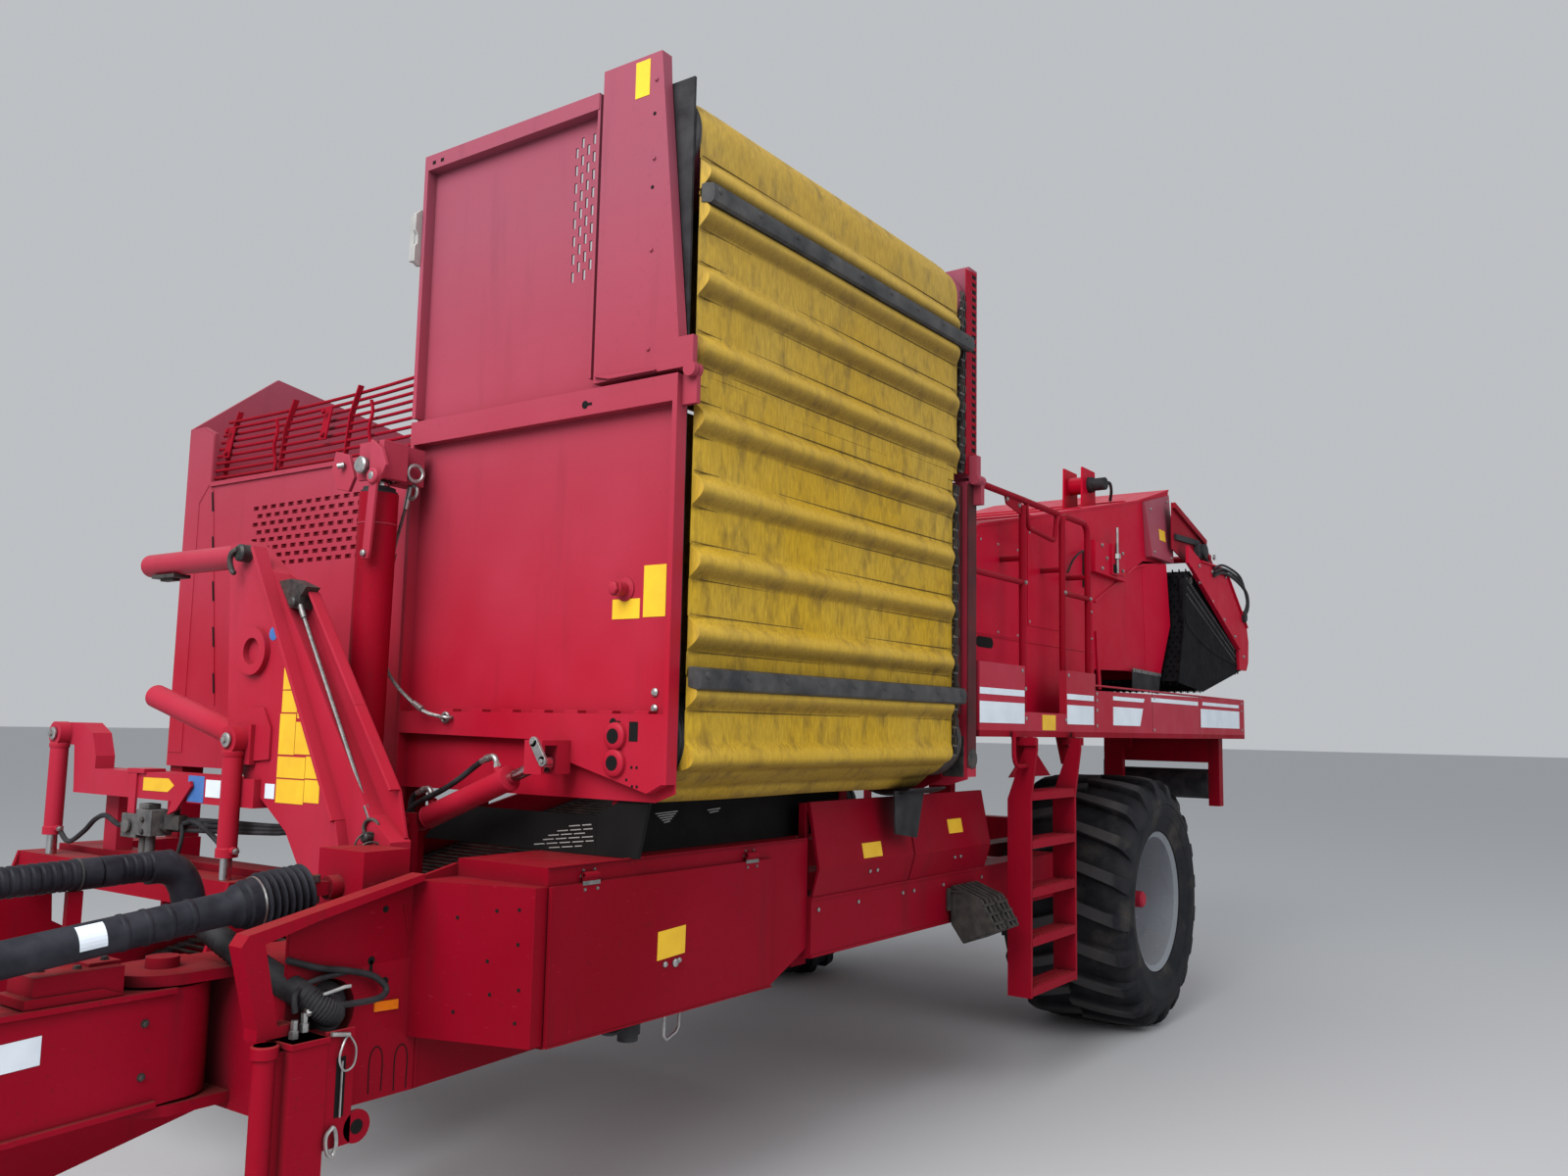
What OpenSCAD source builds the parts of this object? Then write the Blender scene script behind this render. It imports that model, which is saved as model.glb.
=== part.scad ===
// Trailed two-row potato harvester, side digging, with an unloading bunker.
// Working axes: x runs forward from the axle, y to the left from the centre line, z up from the ground.

/* [Overall] */
// Height of the axle above the ground
axle_z = 735; // [715:5:755]
// Hitch eye, forward of the axle
hitch_x = 8180; // [7900:20:8400]
// Rear tip of the rear separator, behind the axle
rear_reach = 2520; // [2460:10:2600]
// Top of the discharge wall
wall_top = 4000; // [3900:10:4050]

/* [Wheels] */
// Outer diameter of the tyres, over the lugs
tyre_od = 1470; // [1430:5:1500]
// Width of the tyres
tyre_w = 780; // [720:5:800]
// Distance between the two wheel centres
track = 2430; // [2390:5:2440]
// Height of the tyre lugs
lug_h = 40; // [25:5:50]
// Seat diameter of the rim
rim_d = 775; // [740:5:800]
// Radius of the stub axles
stub_r = 55; // [45:1:65]
// Running clearance of the wheel bearings
bearing_gap = 0.05; // [0.02:0.01:0.08]

/* [Frame] */
// Width of the long frame members
rail_w = 140; // [100:5:160]
// Height of the long frame members
rail_h = 200; // [160:10:210]
// Underside of the long frame members
rail_z = 840; // [820:5:860]
// Sheet thickness of the panels
sheet = 6; // [4:1:10]

/* [Drawbar] */
// Steering pivot, forward of the axle
pivot_x = 5530; // [5480:10:5580]
// Steering pivot, left of the centre line
pivot_y = 520; // [500:5:540]
// Radius of the steering pin
pivot_r = 45; // [35:1:55]
// Height of the drawbar beam
bar_h = 300; // [240:10:320]
// Width of the drawbar beam
bar_w = 260; // [220:10:280]
// Middle height of the drawbar beam at its pivot
bar_z = 830; // [820:5:840]
// Height of the hitch eye
hitch_z = 560; // [520:10:620]
// Bore of the hitch eye
hitch_bore = 50; // [40:1:60]

/* [Discharge wall] */
// Outer face of the yellow belt, left of the centre line
belt_y = 1515; // [1500:5:1530]
// Rear end of the belt, forward of the axle
belt_rear = 2480; // [2475:5:2520]
// Front end of the belt, forward of the axle
belt_front = 4424; // [4400:4:4424]
// Rear face of the front wall frame, forward of the axle
wall_x = 4450; // [4450:2:4470]
// Outer radius of the belt over its lower roller
belt_r = 170; // [150:5:180]
// Height of the lower roller, about which the wall folds out
fold_z = 1680; // [1660:5:1700]
// Height of the kink in the wall
kink_z = 2870; // [2840:5:2900]
// Inner edge of the front wall, left of the centre line
wall_in = 170; // [150:5:200]
// Thickness of the belt
belt_t = 12; // [8:1:16]
// Height of the belt's ribs
rib_h = 35; // [20:1:40]
// Spacing of the belt's ribs
rib_pitch = 235; // [220:5:250]
// Height of the wall frame's bars
wall_bar = 90; // [60:5:120]
// Depth of the wall frame
wall_deep = 50; // [40:5:55]
// Clearance between moving pieces
run_gap = 8; // [6:1:12]

/* [Bunker] */
// Rear wall of the hopper, forward of the axle
hopper_rear = 2480; // [2470:5:2500]
// Outer face of the hopper's right wall, right of the centre line
hopper_right = 1540; // [1540:5:1560]
// Inner edge of the hopper, left of the centre line
hopper_left = 130; // [100:5:140]
// Underside of the hopper
hopper_z = 1500; // [1490:5:1520]
// Top of the hopper's front wall
hopper_top = 2790; // [2750:10:2820]
// Top of the hopper's front right corner
corner_top = 3060; // [3000:10:3100]
// Number of guard bars above the hopper's front wall
guard_bars = 9; // [7:1:10]

/* [Webs] */
// Left edge of the web channel, from the centre line, negative to the right
channel_left = -50; // [-70:5:-40]
// Right edge of the web channel, right of the centre line
channel_right = 1500; // [1480:5:1520]
// Radius of the web's turning rollers
web_r = 90; // [80:2:100]

/* [Intake] */
// Hinge of the intake, forward of the axle
intake_x = 4600; // [4590:5:4610]
// Height of the intake hinge
intake_z = 600; // [590:5:610]
// Place of the lift cylinders, forward of the axle
lift_x = 4990; // [4985:5:5000]

/* [Platform] */
// Outer face of the striped side panel, left of the centre line
panel_y = 1520; // [1510:5:1530]
// Underside of the striped side panel
panel_z = 1730; // [1720:5:1740]
// Outer face of the picking house, left of the centre line
house_y = 1330; // [1300:5:1350]
// Top of the railings
railing_top = 2900; // [2850:10:2950]
// Middle of the ladder, forward of the axle
ladder_mid = 1560; // [1540:5:1580]
// Width of the ladder
ladder_w = 560; // [500:10:580]

/* [Cylinders] */
// Barrel radius of the tall fold cylinder
tall_r = 70; // [60:1:75]
// Barrel radius of the smaller cylinders
small_r = 40; // [36:1:44]
// Rod radius of the smaller cylinders
rod_r = 20; // [15:1:25]
// Radius of the cylinder pins
pin_r = 18; // [14:1:20]
// Radial clearance of a sliding rod or pin
fit_gap = 0.05; // [0.02:0.01:0.08]

/* [Hidden] */
$fn = 48;
front_x = hitch_x + 90;
mid_x = (front_x - rear_reach) / 2;
wheel_y = track / 2;
disc_y = wheel_y - 70;
rail_y = 560;
rail_out = rail_y + rail_w;
rail_top = rail_z + rail_h;
frame_rear = -1900;
mast_x = [4860, 4940];
nose_x = [mast_x[1], pivot_x - 145];
nose_y = [360, 900];
nose_z = [620, 1010];
plate_y = [nose_y[1] - 16, nose_y[1]];
box_top = 1295;
portal_x = [4740, mast_x[0]];
portal_z = [1060, 1180];
bearing = 12;
roller_y = belt_y - belt_r;
top_roller_z = wall_top - 290;
slat_z = [1880, wall_top - 510];
rib_steps = floor((slat_z[1] - slat_z[0] - 140) / rib_pitch);
rib_z = concat([slat_z[0] - 258, slat_z[0] - 50, slat_z[1] + 70], [for (i = [0:rib_steps]) slat_z[1] - 60 - i * rib_pitch]);
kink_y = belt_y + 25;
kink_r = 25;
wall_out = wall_x + wall_deep;
strip_x = belt_rear - 130;
bar_top = bar_z + bar_h / 2;
bar_low = bar_z - bar_h / 2;
channel_out = channel_right + 20;
left_edge = channel_left + 20;
deck_z = panel_z - 30;
lift_y = [-1330, -80];
lift_z = 1645;
red = "#b3182e";

// Feet and eyes of the cylinders, those of the wall at a fixed way in front of it
tall_foot = [wall_out + 150, 180, 1300];
tall_eye = [wall_out + 150, 200, 2650];
tall_rod = 35;
tall_pin = 30;
tilt_foot = [wall_out + 90, 440, 1370];
tilt_eye = [wall_out + 90, 1040, 1595];
steer_foot = [5050, 250, 715];
steer_eye = [5700, 330, 715];

// Joint of the drive shaft at the gearbox, and its front end
shaft_a = [5200, 720, 1220];
shaft_b = [hitch_x - 480, 560, 920];
shaft_pin = 12;

// Conduit of the hoses above the drawbar, and the top of a post that carries it
pipe_r = 43;
pipe_y = pivot_y - 60;
pipe_a = [5700, pipe_y, 1290];
pipe_b = [hitch_x - 780, pipe_y, 1240];
function pipe_z(x) = pipe_a[2] + (pipe_b[2] - pipe_a[2]) * (x - pipe_a[0]) / (pipe_b[0] - pipe_a[0]) - pipe_r - 0.3;

// Steel rope that hangs from the ear of the tall cylinder to the bar of the wall
rope_r = 7;
rope_points = [
    [4545, 240, 2600], [4545, 235, 2570], [4545, 225, 2535], [4545, 212, 2500], [4545, 198, 2460],
    [4545, 184, 2420], [4545, 171, 2380], [4545, 159, 2340], [4545, 147, 2300], [4545, 136, 2260],
    [4545, 127, 2220], [4545, 120, 2180], [4545, 115, 2140], [4545, 113, 2100], [4545, 115, 2060],
    [4545, 121, 2020], [4545, 131, 1980], [4545, 146, 1940], [4545, 167, 1905], [4545, 195, 1875],
    [4545, 228, 1848], [4545, 264, 1823], [4545, 302, 1800], [4545, 340, 1779], [4543, 376, 1762],
    [4536, 408, 1750], [4522, 431, 1743], [4510, 440, 1740], [4500, 441, 1740]
];

// Hinges of the tool box door and of the ladder, in y and z
door_hinge = [1312, 1262];
door_pin = 5;
ladder_hinge = [1575, 1680];
ladder_x = [ladder_mid - ladder_w / 2, ladder_mid + ladder_w / 2];
gap_x = [ladder_x[0] + 20, ladder_x[1] - 8];
ladder_pin = 10;

// Carries the working axes to the middle of the machine
module placed() translate([-mid_x, 0, 0]) children();

module block(x, y, z) translate([x[0], y[0], z[0]]) cube([x[1] - x[0], y[1] - y[0], z[1] - z[0]]);

// A plate seen from the side, its outline in x and z
module side_plate(outline, y)
    translate([0, y[1], 0]) rotate([90, 0, 0]) linear_extrude(y[1] - y[0]) polygon(outline);

// A plate seen from the front, its outline in y and z
module cross_plate(outline, x)
    translate([x[0], 0, 0]) rotate([90, 0, 90]) linear_extrude(x[1] - x[0]) polygon(outline);

// A plate seen from above, its outline in x and y
module flat_plate(outline, z) translate([0, 0, z[0]]) linear_extrude(z[1] - z[0]) polygon(outline);

module shaft_x(y, z, r, x) translate([x[0], y, z]) rotate([0, 90, 0]) cylinder(h = x[1] - x[0], r = r);

module shaft_y(x, z, r, y) translate([x, y[0], z]) rotate([-90, 0, 0]) cylinder(h = y[1] - y[0], r = r);

module shaft_z(x, y, r, z) translate([x, y, z[0]]) cylinder(h = z[1] - z[0], r = r);

// A round bar from one point to another
module bar(a, b, r) {
    v = b - a;
    translate(a) rotate([0, acos(v[2] / norm(v)), atan2(v[1], v[0])]) cylinder(h = norm(v), r = r);
}

// A short round piece through a point, across or upright, as the eye of a cylinder
module eye(p, r, half, upright) {
    if (upright) shaft_z(p[0], p[1], r, [p[2] - half, p[2] + half]);
    else shaft_x(p[1], p[2], r, [p[0] - half, p[0] + half]);
}

// Barrel from its foot a to a share of the way to the eye b, bored for its rod and its pin
module barrel(a, b, r, rod, pin, share, half, upright) {
    u = (b - a) / norm(b - a);
    difference() {
        union() {
            bar(a + u * 1.5 * r, a + (b - a) * share, r);
            bar(a, a + u * 1.6 * r, r * 0.5);
            eye(a, r * 0.75, half, upright);
        }
        bar(a + u * 1.8 * r, a + (b - a) * (share + 0.01), rod + fit_gap);
        eye(a, pin + fit_gap, half + 1, upright);
    }
}

// Rod that starts a given way from the foot, with its eye
module rod(a, b, r, start, pin, eye_r, half, upright) {
    u = (b - a) / norm(b - a);
    difference() {
        union() {
            bar(a + u * start, b, r);
            eye(b, eye_r, half, upright);
        }
        eye(b, pin + fit_gap, half + 1, upright);
    }
}

function unit(v) = v / norm(v);

// A round rope through its points, square to the carrier at its last one
module cord(points, r, sides) {
    last = len(points) - 1;
    rings = [for (i = [0:last])
        let (
            u = i == 0 ? [0, 0, -1] : i == last ? [-1, 0, 0] : unit(points[i + 1] - points[i - 1]),
            a = unit(cross(u, [0.2, 1, 0.3])),
            b = cross(u, a)
        )
        [for (k = [0:sides - 1]) points[i] + r * (cos(360 * k / sides) * a + sin(360 * k / sides) * b)]
    ];
    polyhedron(
        [for (ring = rings) each ring],
        concat(
            [[for (k = [0:sides - 1]) k]],
            [for (i = [0:last - 1], k = [0:sides - 1])
                let (n = (k + 1) % sides, p = i * sides, q = p + sides)
                [p + k, q + k, q + n, p + n]],
            [[for (k = [sides - 1:-1:0]) last * sides + k]]
        )
    );
}

// Bearing plate of the wall's roller on its foot, outline in y and z
module bearing_plate(foot, x) difference() {
    cross_plate(concat(foot, [[roller_y + 50, fold_z + 60], [roller_y - 50, fold_z + 60]]), [x, x + bearing]);
    shaft_x(roller_y, fold_z, 40 + fit_gap, [x - 1, x + bearing + 1]);
}

// Long members with their cross members, the pivot nose and its ears
module main_frame() color(red) placed() {
    ear_z = [bar_low - run_gap - 30, bar_top + run_gap];
    block([frame_rear, nose_x[0]], [rail_y, rail_out], [rail_z, rail_top]);
    difference() {
        block(nose_x, nose_y, nose_z);
        shaft_y(5250, 900, 90, [780, 910]);
    }
    for (z = ear_z) {
        block([nose_x[1], pivot_x], [pivot_y - 140, pivot_y + 140], [z, z + 30]);
        shaft_z(pivot_x, pivot_y, 140, [z, z + 30]);
    }
    shaft_z(pivot_x, pivot_y, pivot_r, [ear_z[0] - 30, ear_z[1] + 60]);
    block([frame_rear, 1600], [-rail_out, -rail_y], [rail_z, rail_top]);
    for (x = [frame_rear, 900])
        block([x, x + rail_w], [-rail_y, rail_y], [rail_z, rail_top]);
    for (z = [steer_foot[2] - 45, steer_foot[2] + 30])
        block([steer_foot[0] - 40, steer_foot[0] + 40], [steer_foot[1] - 35, nose_y[0]], [z, z + 15]);
    shaft_z(steer_foot[0], steer_foot[1], pin_r, [steer_foot[2] - 50, steer_foot[2] + 50]);
}

// Outer rail on its braces, front side plate, rail behind the covers and the wall's bearing plates
module side_frame() color(red) placed() {
    block([960, 3400], [1190, 1320], [rail_z, 1070]);
    for (x = [960, 2300, 3260])
        block([x, x + 120], [rail_out, 1190], [rail_z + 20, rail_top - 20]);
    side_plate([
        [3420, rail_z], [3420, 1240], [4800, 1280], [5330, 1165], [nose_x[1], 1150], [nose_x[1], nose_z[1]],
        [nose_x[0], nose_z[1]], [nose_x[0], rail_z]
    ], plate_y);
    side_plate([[4380, 640], [4380, rail_z], [nose_x[0], rail_z], [nose_x[0], nose_z[0]]], plate_y);
    for (x = [3440, 4400])
        block([x, x + 100], [rail_out, plate_y[0]], [rail_z + 20, rail_top - 20]);
    block([1860, 3400], [1255, 1285], [1400, 1430]);
    for (x = [1860, 3370])
        block([x, x + 30], [1255, 1285], [1070, 1400]);
    bearing_plate([[1190, 1500], [1190, 1070], [1250, 1070], [1250, 1440], [roller_y + 50, 1510]], belt_rear - 27);
    bearing_plate([[1210, 1420], [1160, box_top + 0.5], [roller_y - 10, box_top + 0.5]], wall_x - 7 - bearing);
}

// Portal over the main web, which carries the gantry, the cylinders' feet and the front of the hopper
module portal_frame() color(red) placed() {
    rear_posts();
    cylinder_feet();
    block(portal_x, [-hopper_right, plate_y[0]], portal_z);
    block([4300, portal_x[0]], [-hopper_right, -hopper_right + 120], portal_z);
    block([4300, portal_x[0]], [20, 120], portal_z);
    block([4300, 4400], [-hopper_right, -channel_out], [640, portal_z[0]]);
    block([4300, 4400], [left_edge, 20], [640, portal_z[1]]);
    for (y = [-hopper_right, 20])
        block([4300, 4400], [y, y + 100], [portal_z[1], hopper_z]);
    block([portal_x[0] + 20, mast_x[0]], [rail_y, rail_out], [rail_top, portal_z[0]]);
}

// Posts of the hopper's rear on their cross member under the main web
module rear_posts() {
    block([2500, 2620], [-hopper_right, rail_out], [620, 740]);
    block([2500, 2620], [rail_y, rail_out], [740, rail_z]);
    block([2500, 2620], [-hopper_right, -channel_out], [740, hopper_z]);
    block([2500, 2620], [120, 240], [740, hopper_z]);
    block([2500, 2620], [left_edge, 120], [900, 960]);
}

// Pins and lugs at the feet of the tall and tilt cylinders
module cylinder_feet() {
    base = 1140;
    for (x = [tall_foot[0] - 76, tall_foot[0] + 50])
        block([x, x + 26], [tall_foot[1] - 50, tall_foot[1] + 50], [base, tall_foot[2] + 45]);
    block([tall_foot[0] - 76, portal_x[0]], [120, tall_foot[1] + 50], [portal_z[0], base + 20]);
    shaft_x(tall_foot[1], tall_foot[2], tall_pin, [tall_foot[0] - 80, tall_foot[0] + 80]);
    block([tilt_foot[0] + 30, tilt_foot[0] + 55], [tilt_foot[1] - 40, tilt_foot[1] + 40], [portal_z[0], tilt_foot[2] + 35]);
    block([tilt_foot[0] + 55, portal_x[0]], [tilt_foot[1] - 40, tilt_foot[1] + 40], portal_z);
    shaft_x(tilt_foot[1], tilt_foot[2], pin_r, [tilt_foot[0] - 35, tilt_foot[0] + 60]);
}

// Axle beam with its seats under the long members and its stub axles
module axle_beam() color(red) placed() {
    block([-80, 80], [-rail_out, rail_out], [axle_z - 80, axle_z + 80]);
    for (s = [-1, 1]) {
        seat = s * (rail_y + rail_w / 2);
        block([-120, 120], [seat - rail_w / 2, seat + rail_w / 2], [axle_z + 80, rail_z]);
        shaft_y(0, axle_z, stub_r, s > 0 ? [rail_out, disc_y + 60] : [-disc_y - 60, -rail_out]);
        shaft_y(0, axle_z, 150, s > 0 ? [rail_out + 5, disc_y - 180] : [-disc_y + 180, -rail_out - 5]);
    }
}

// Tyre with two rows of slanted lugs
module tyre(s) color("#25262a") placed() translate([0, s * wheel_y, axle_z]) rotate([90, 0, 0]) {
    carcass = tyre_od / 2 - lug_h;
    half = [
        [rim_d / 2, tyre_w / 2 - 60.3], [rim_d / 2 + 22, tyre_w / 2 - 60.3], [rim_d / 2 + 24, tyre_w / 2 - 40],
        [rim_d / 2 + 90, tyre_w / 2], [carcass - 110, tyre_w / 2], [carcass - 40, tyre_w / 2 - 25], [carcass, 180]
    ];
    rotate_extrude($fn = 64) polygon(concat(half, [for (i = [len(half) - 1:-1:0]) [half[i][0], -half[i][1]]]));
    lugs = 20;
    for (i = [0:lugs - 1], m = [0, 1])
        rotate([0, 0, 360 / lugs * (i + m / 2)]) mirror([0, 0, m]) translate([carcass - 60, 0, 0])
            rotate([90, 0, 90]) linear_extrude(lug_h + 55)
            polygon([[-75, 10], [-35, 10], [75, tyre_w / 2 - 60], [75, tyre_w / 2 - 8], [25, tyre_w / 2 - 8]]);
}

// Dished rim with its hub, bored for the stub axle
module rim(s) color("#c9ccd0") placed() translate([0, s * wheel_y, axle_z]) rotate([s > 0 ? -90 : 90, 0, 0])
    rotate_extrude($fn = 64) polygon([
        [stub_r + bearing_gap, -170], [110, -170], [110, -90], [rim_d / 2 - 70, -90],
        [rim_d / 2 - 12, -tyre_w / 2 + 66], [rim_d / 2 + 20, -tyre_w / 2 + 48], [rim_d / 2 + 20, -tyre_w / 2 + 60],
        [rim_d / 2 - 0.3, -tyre_w / 2 + 60], [rim_d / 2 - 0.3, tyre_w / 2 - 60], [rim_d / 2 + 20, tyre_w / 2 - 60],
        [rim_d / 2 + 20, tyre_w / 2 - 48], [rim_d / 2 - 12, tyre_w / 2 - 66], [rim_d / 2 - 70, -70], [130, -70],
        [110, 60], [60, 80], [0, 80], [0, disc_y + 66.05 - wheel_y], [stub_r + bearing_gap, disc_y + 66 - wheel_y]
    ]);

// Tapered mast, its tubes, the beam over the intake and the lift barrels
module gantry() color(red) placed() {
    arm_x = [mast_x[0] + 30, lift_x - 24];
    cross_plate([
        [-270, 2360], [-180, 2370], [20, 2240], [630, 1420], [740, 1340], [740, rail_top], [560, rail_top],
        [560, 1100], [300, 1180], [180, 1340], [60, 1420], [-150, 1560], [-210, 1700]
    ], mast_x);
    block([mast_x[1], 5110], [600, 860], [nose_z[1], 1100]);
    difference() {
        shaft_x(-60, 1960, 85, [mast_x[1], mast_x[1] + 22]);
        shaft_x(-60, 1960, 48, [mast_x[1] - 1, mast_x[1] + 23]);
    }
    shaft_y(4900, 2320, 45, [-890, -262]);
    bar([4900, -780, 1800], [4900, -190, 1655], 45);
    block([mast_x[0] - 10, arm_x[1]], [-1240, 20], [1410, 1510]);
    block([4780, mast_x[0] - 10], [-1200, -1100], [portal_z[1], 1480]);
    cross_plate([
        [-1240, 1430], [-1080, 1430], [-1080, 1560], [-1120, 1650], [-1200, 1690], [-1390, 1690], [-1390, 1600],
        [-1260, 1600]
    ], arm_x);
    block([mast_x[1], arm_x[1]], [-140, -20], [1560, 1700]);
    for (y = lift_y) {
        shaft_x(y, lift_z, pin_r, [arm_x[1], lift_x + 30]);
        difference() {
            union() {
                shaft_z(lift_x, y, small_r - 6, [1240, 1600]);
                shaft_x(y, lift_z, small_r + 8, [arm_x[1], lift_x + 24]);
            }
            shaft_z(lift_x, y, rod_r + fit_gap, [1200, 1560]);
        }
    }
}

// Sloping flange of the front side plate with its forked bracket
module side_guard() color(red) placed() {
    guard_y = [nose_y[1] - 10, nose_y[1] + 50];
    side_plate([
        [4970, 1243.3], [4970, 1264], [5540, 1151], [5560, 1122], [5500, 900], [5440, 900], [5490, 1122], [5330, 1165.2]
    ], guard_y);
    block([nose_x[1], 5500], guard_y, [870, 900]);
}

// Outer tube of the parking jack with its crank tube
module jack_tube() color(red) placed() {
    difference() {
        block([5325, 5435], [905, 1015], [420, 862]);
        block([5335, 5425], [915, 1005], [410, 850]);
    }
    block([5250, nose_x[1]], [nose_y[1], 905], [640, 860]);
    shaft_z(5480, 960, 30, [430, 862]);
    block([5435, 5460], [940, 980], [500, 840]);
}

module jack_leg() color(red) placed() {
    block([5340, 5420], [920, 1000], [20, 545]);
    for (z = [430, 525]) block([5335.3, 5424.7], [915.3, 1004.7], [z, z + 15]);
    block([5280, 5480], [870, 1050], [0, 20]);
}

// Tool box on the left side, open behind its door, with the ears of the door's hinges
module storage_box() color(red) placed() {
    difference() {
        union() {
            side_plate([[3400, 880], [3400, box_top], [4800, box_top], [4800, 770], [3650, 770]], [nose_y[1], 1300]);
            flat_plate([[4800, nose_y[1]], [4800, 1300], [4850, 1300], [4970, nose_y[1]]], [780, 1240]);
        }
        block([3700, 4770], [nose_y[1] + sheet, 1310], [790, 1235]);
    }
    for (x = [3750, 4590]) {
        block([x, x + 9.7], [1300, door_hinge[0] + 8], [door_hinge[1] - 8, door_hinge[1] + 8]);
        shaft_x(door_hinge[0], door_hinge[1], door_pin, [x, x + 60]);
    }
}

module box_door() color(red) placed() difference() {
    union() {
        block([3660, 4800], [1305, 1305 + 2 * sheet], [780, 1240]);
        for (x = [3760, 4600]) {
            block([x, x + 60], [1306, 1305 + 2 * sheet], [1240, door_hinge[1]]);
            shaft_x(door_hinge[0], door_hinge[1], 11, [x, x + 60]);
        }
    }
    shaft_x(door_hinge[0], door_hinge[1], door_pin + fit_gap, [3700, 4700]);
}

// Folded covers above the outer rail
module side_covers() color(red) placed() for (x = [1860, 2630])
    cross_plate([
        [1285, 1070], [1318, 1070], [1350, 1180], [1300, 1435], [1285, 1435], [1285, 1400.3], [1292, 1400.3],
        [1338, 1180], [1312, 1076], [1285, 1076]
    ], [x, x + 760]);

module wheel_chocks() color("#6c6e70") placed() {
    chock_w = 110;
    chock_x = [ladder_x[1] + 160, ladder_x[1] + 300];
    for (x = chock_x)
        cross_plate([[1340, 1010], [1480, 960], [1560, 830], [1400, 760], [1340, 840]], [x, x + chock_w]);
    block([chock_x[0] - 20, chock_x[1] + chock_w + 20], [1320, 1340], [900, 1000]);
}

// Side sheets of the web channel, from the intake to the rear, with the pins of the intake
module web_channel() color(red) placed() {
    channel = [
        [4650, 520], [4650, 690], [4540, 760], [3400, 1040], [1700, 1440], [760, 2000], [-1750, 2420],
        [-1850, 2200], [-1850, 2020], [760, 1600], [900, 1500], [1650, 1020], [3400, 640], [4540, 480]
    ];
    for (y = [-channel_out, channel_left])
        side_plate(channel, [y, y + 20]);
    shaft_y(intake_x, intake_z, 30, [-channel_out - 28, -channel_out]);
    shaft_y(intake_x, intake_z, 30, [left_edge, left_edge + 28]);
    for (x = [-1800, 1450])
        block([x, x + 100], [-channel_right, -rail_out], [rail_z, rail_z + 80]);
    block([1450, 1550], [-channel_out, -channel_right], [rail_z, 1150]);
    block([-1800, -1700], [-channel_out, -channel_right], [rail_z, 2040]);
    block([-1840, -1780], [channel_left, left_edge], [rail_top, 2040]);
}

// A web of bars running round two rollers, whose shafts reach the side sheets
module web(a, b) {
    v = b - a;
    n = [-v[1], v[0]] / norm(v) * web_r;
    for (p = [a, b]) {
        shaft_y(p[0], p[1], web_r - 8, [-channel_right + 5, channel_left - 5]);
        shaft_y(p[0], p[1], 25, [-channel_right, channel_left]);
    }
    for (s = [-1, 1])
        side_plate([a + s * n, b + s * n, b + s * n * 0.85, a + s * n * 0.85], [-channel_right + 5, channel_left - 5]);
}

module main_web() color("#3c3a38") placed() web([4430, 590], [1640, 1200]);

module rear_web() color("#3c3a38") placed() {
    web([1560, 1420], [760, 1800]);
    web([560, 1850], [-1700, 2200]);
}

// Deck for the pickers with its brackets, rear post and the ladder's hinge pins
module platform() color(red) placed() {
    block([-2190, 2335], [700, panel_y], [deck_z, panel_z]);
    for (x = [-1900, 960, 2150]) {
        block([x, x + 60], [rail_y, rail_out], [rail_top, deck_z]);
        block([x, x + 60], [rail_y, 760], [deck_z - 80, deck_z]);
    }
    block([-2100, -2000], [1300, 1380], [1200, deck_z]);
    block([-2110, -1990], [500, 1300], [1520, deck_z]);
    for (m = [-1, 1]) {
        x = m < 0 ? [ladder_x[0] - 22, ladder_x[0] - 2] : [ladder_x[1] + 22, ladder_x[1] + 42];
        block(x, [panel_y - 40, ladder_hinge[0] + 20], [ladder_hinge[1] - 20, deck_z]);
        shaft_x(ladder_hinge[0], ladder_hinge[1], ladder_pin, m < 0 ? [x[0], x[1] + 22] : [x[0] - 22, x[1]]);
    }
}

// Striped outer panel, lower behind the ladder's gap
module side_panel() color(red) placed() side_plate([
    [2335, panel_z], [2335, 2045], [gap_x[1], 2045], [gap_x[1], panel_z + 92], [gap_x[0], panel_z + 92],
    [gap_x[0], 2050], [880, 2050], [880, panel_z + 228], [-2190, panel_z + 260], [-2190, panel_z]
], [panel_y - 40, panel_y]);

// Railings beside the ladder, their posts held by the house, with a grab loop over the gap
module railings() color(red) placed() {
    y = 1455;
    posts = [820, 1190, 1710, 2310];
    mid = railing_top - 425;
    for (x = posts) shaft_z(x, y, 18, [panel_z, railing_top + 10]);
    for (x = [posts[0], posts[1], posts[2]]) bar([x, y - 10, railing_top - 300], [x, house_y, railing_top - 300], 14);
    shaft_x(y, railing_top, 15, [posts[0], posts[3]]);
    shaft_x(y, mid, 14, [posts[0], posts[1]]);
    shaft_x(y, mid, 14, [posts[2], posts[3]]);
    loop = [[1664, railing_top], [1635, railing_top - 135], [1308, railing_top - 155], [1267, railing_top]];
    for (i = [0:2]) bar([loop[i][0], y, loop[i][1]], [loop[i + 1][0], y, loop[i + 1][1]], 11 + i % 2);
    for (i = [1, 2]) translate([loop[i][0], y, loop[i][1]]) sphere(r = 13);
}

// End of the house at a height
function house_end(z) = -1000 - 50 * (z - 2900) / 520;

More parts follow.
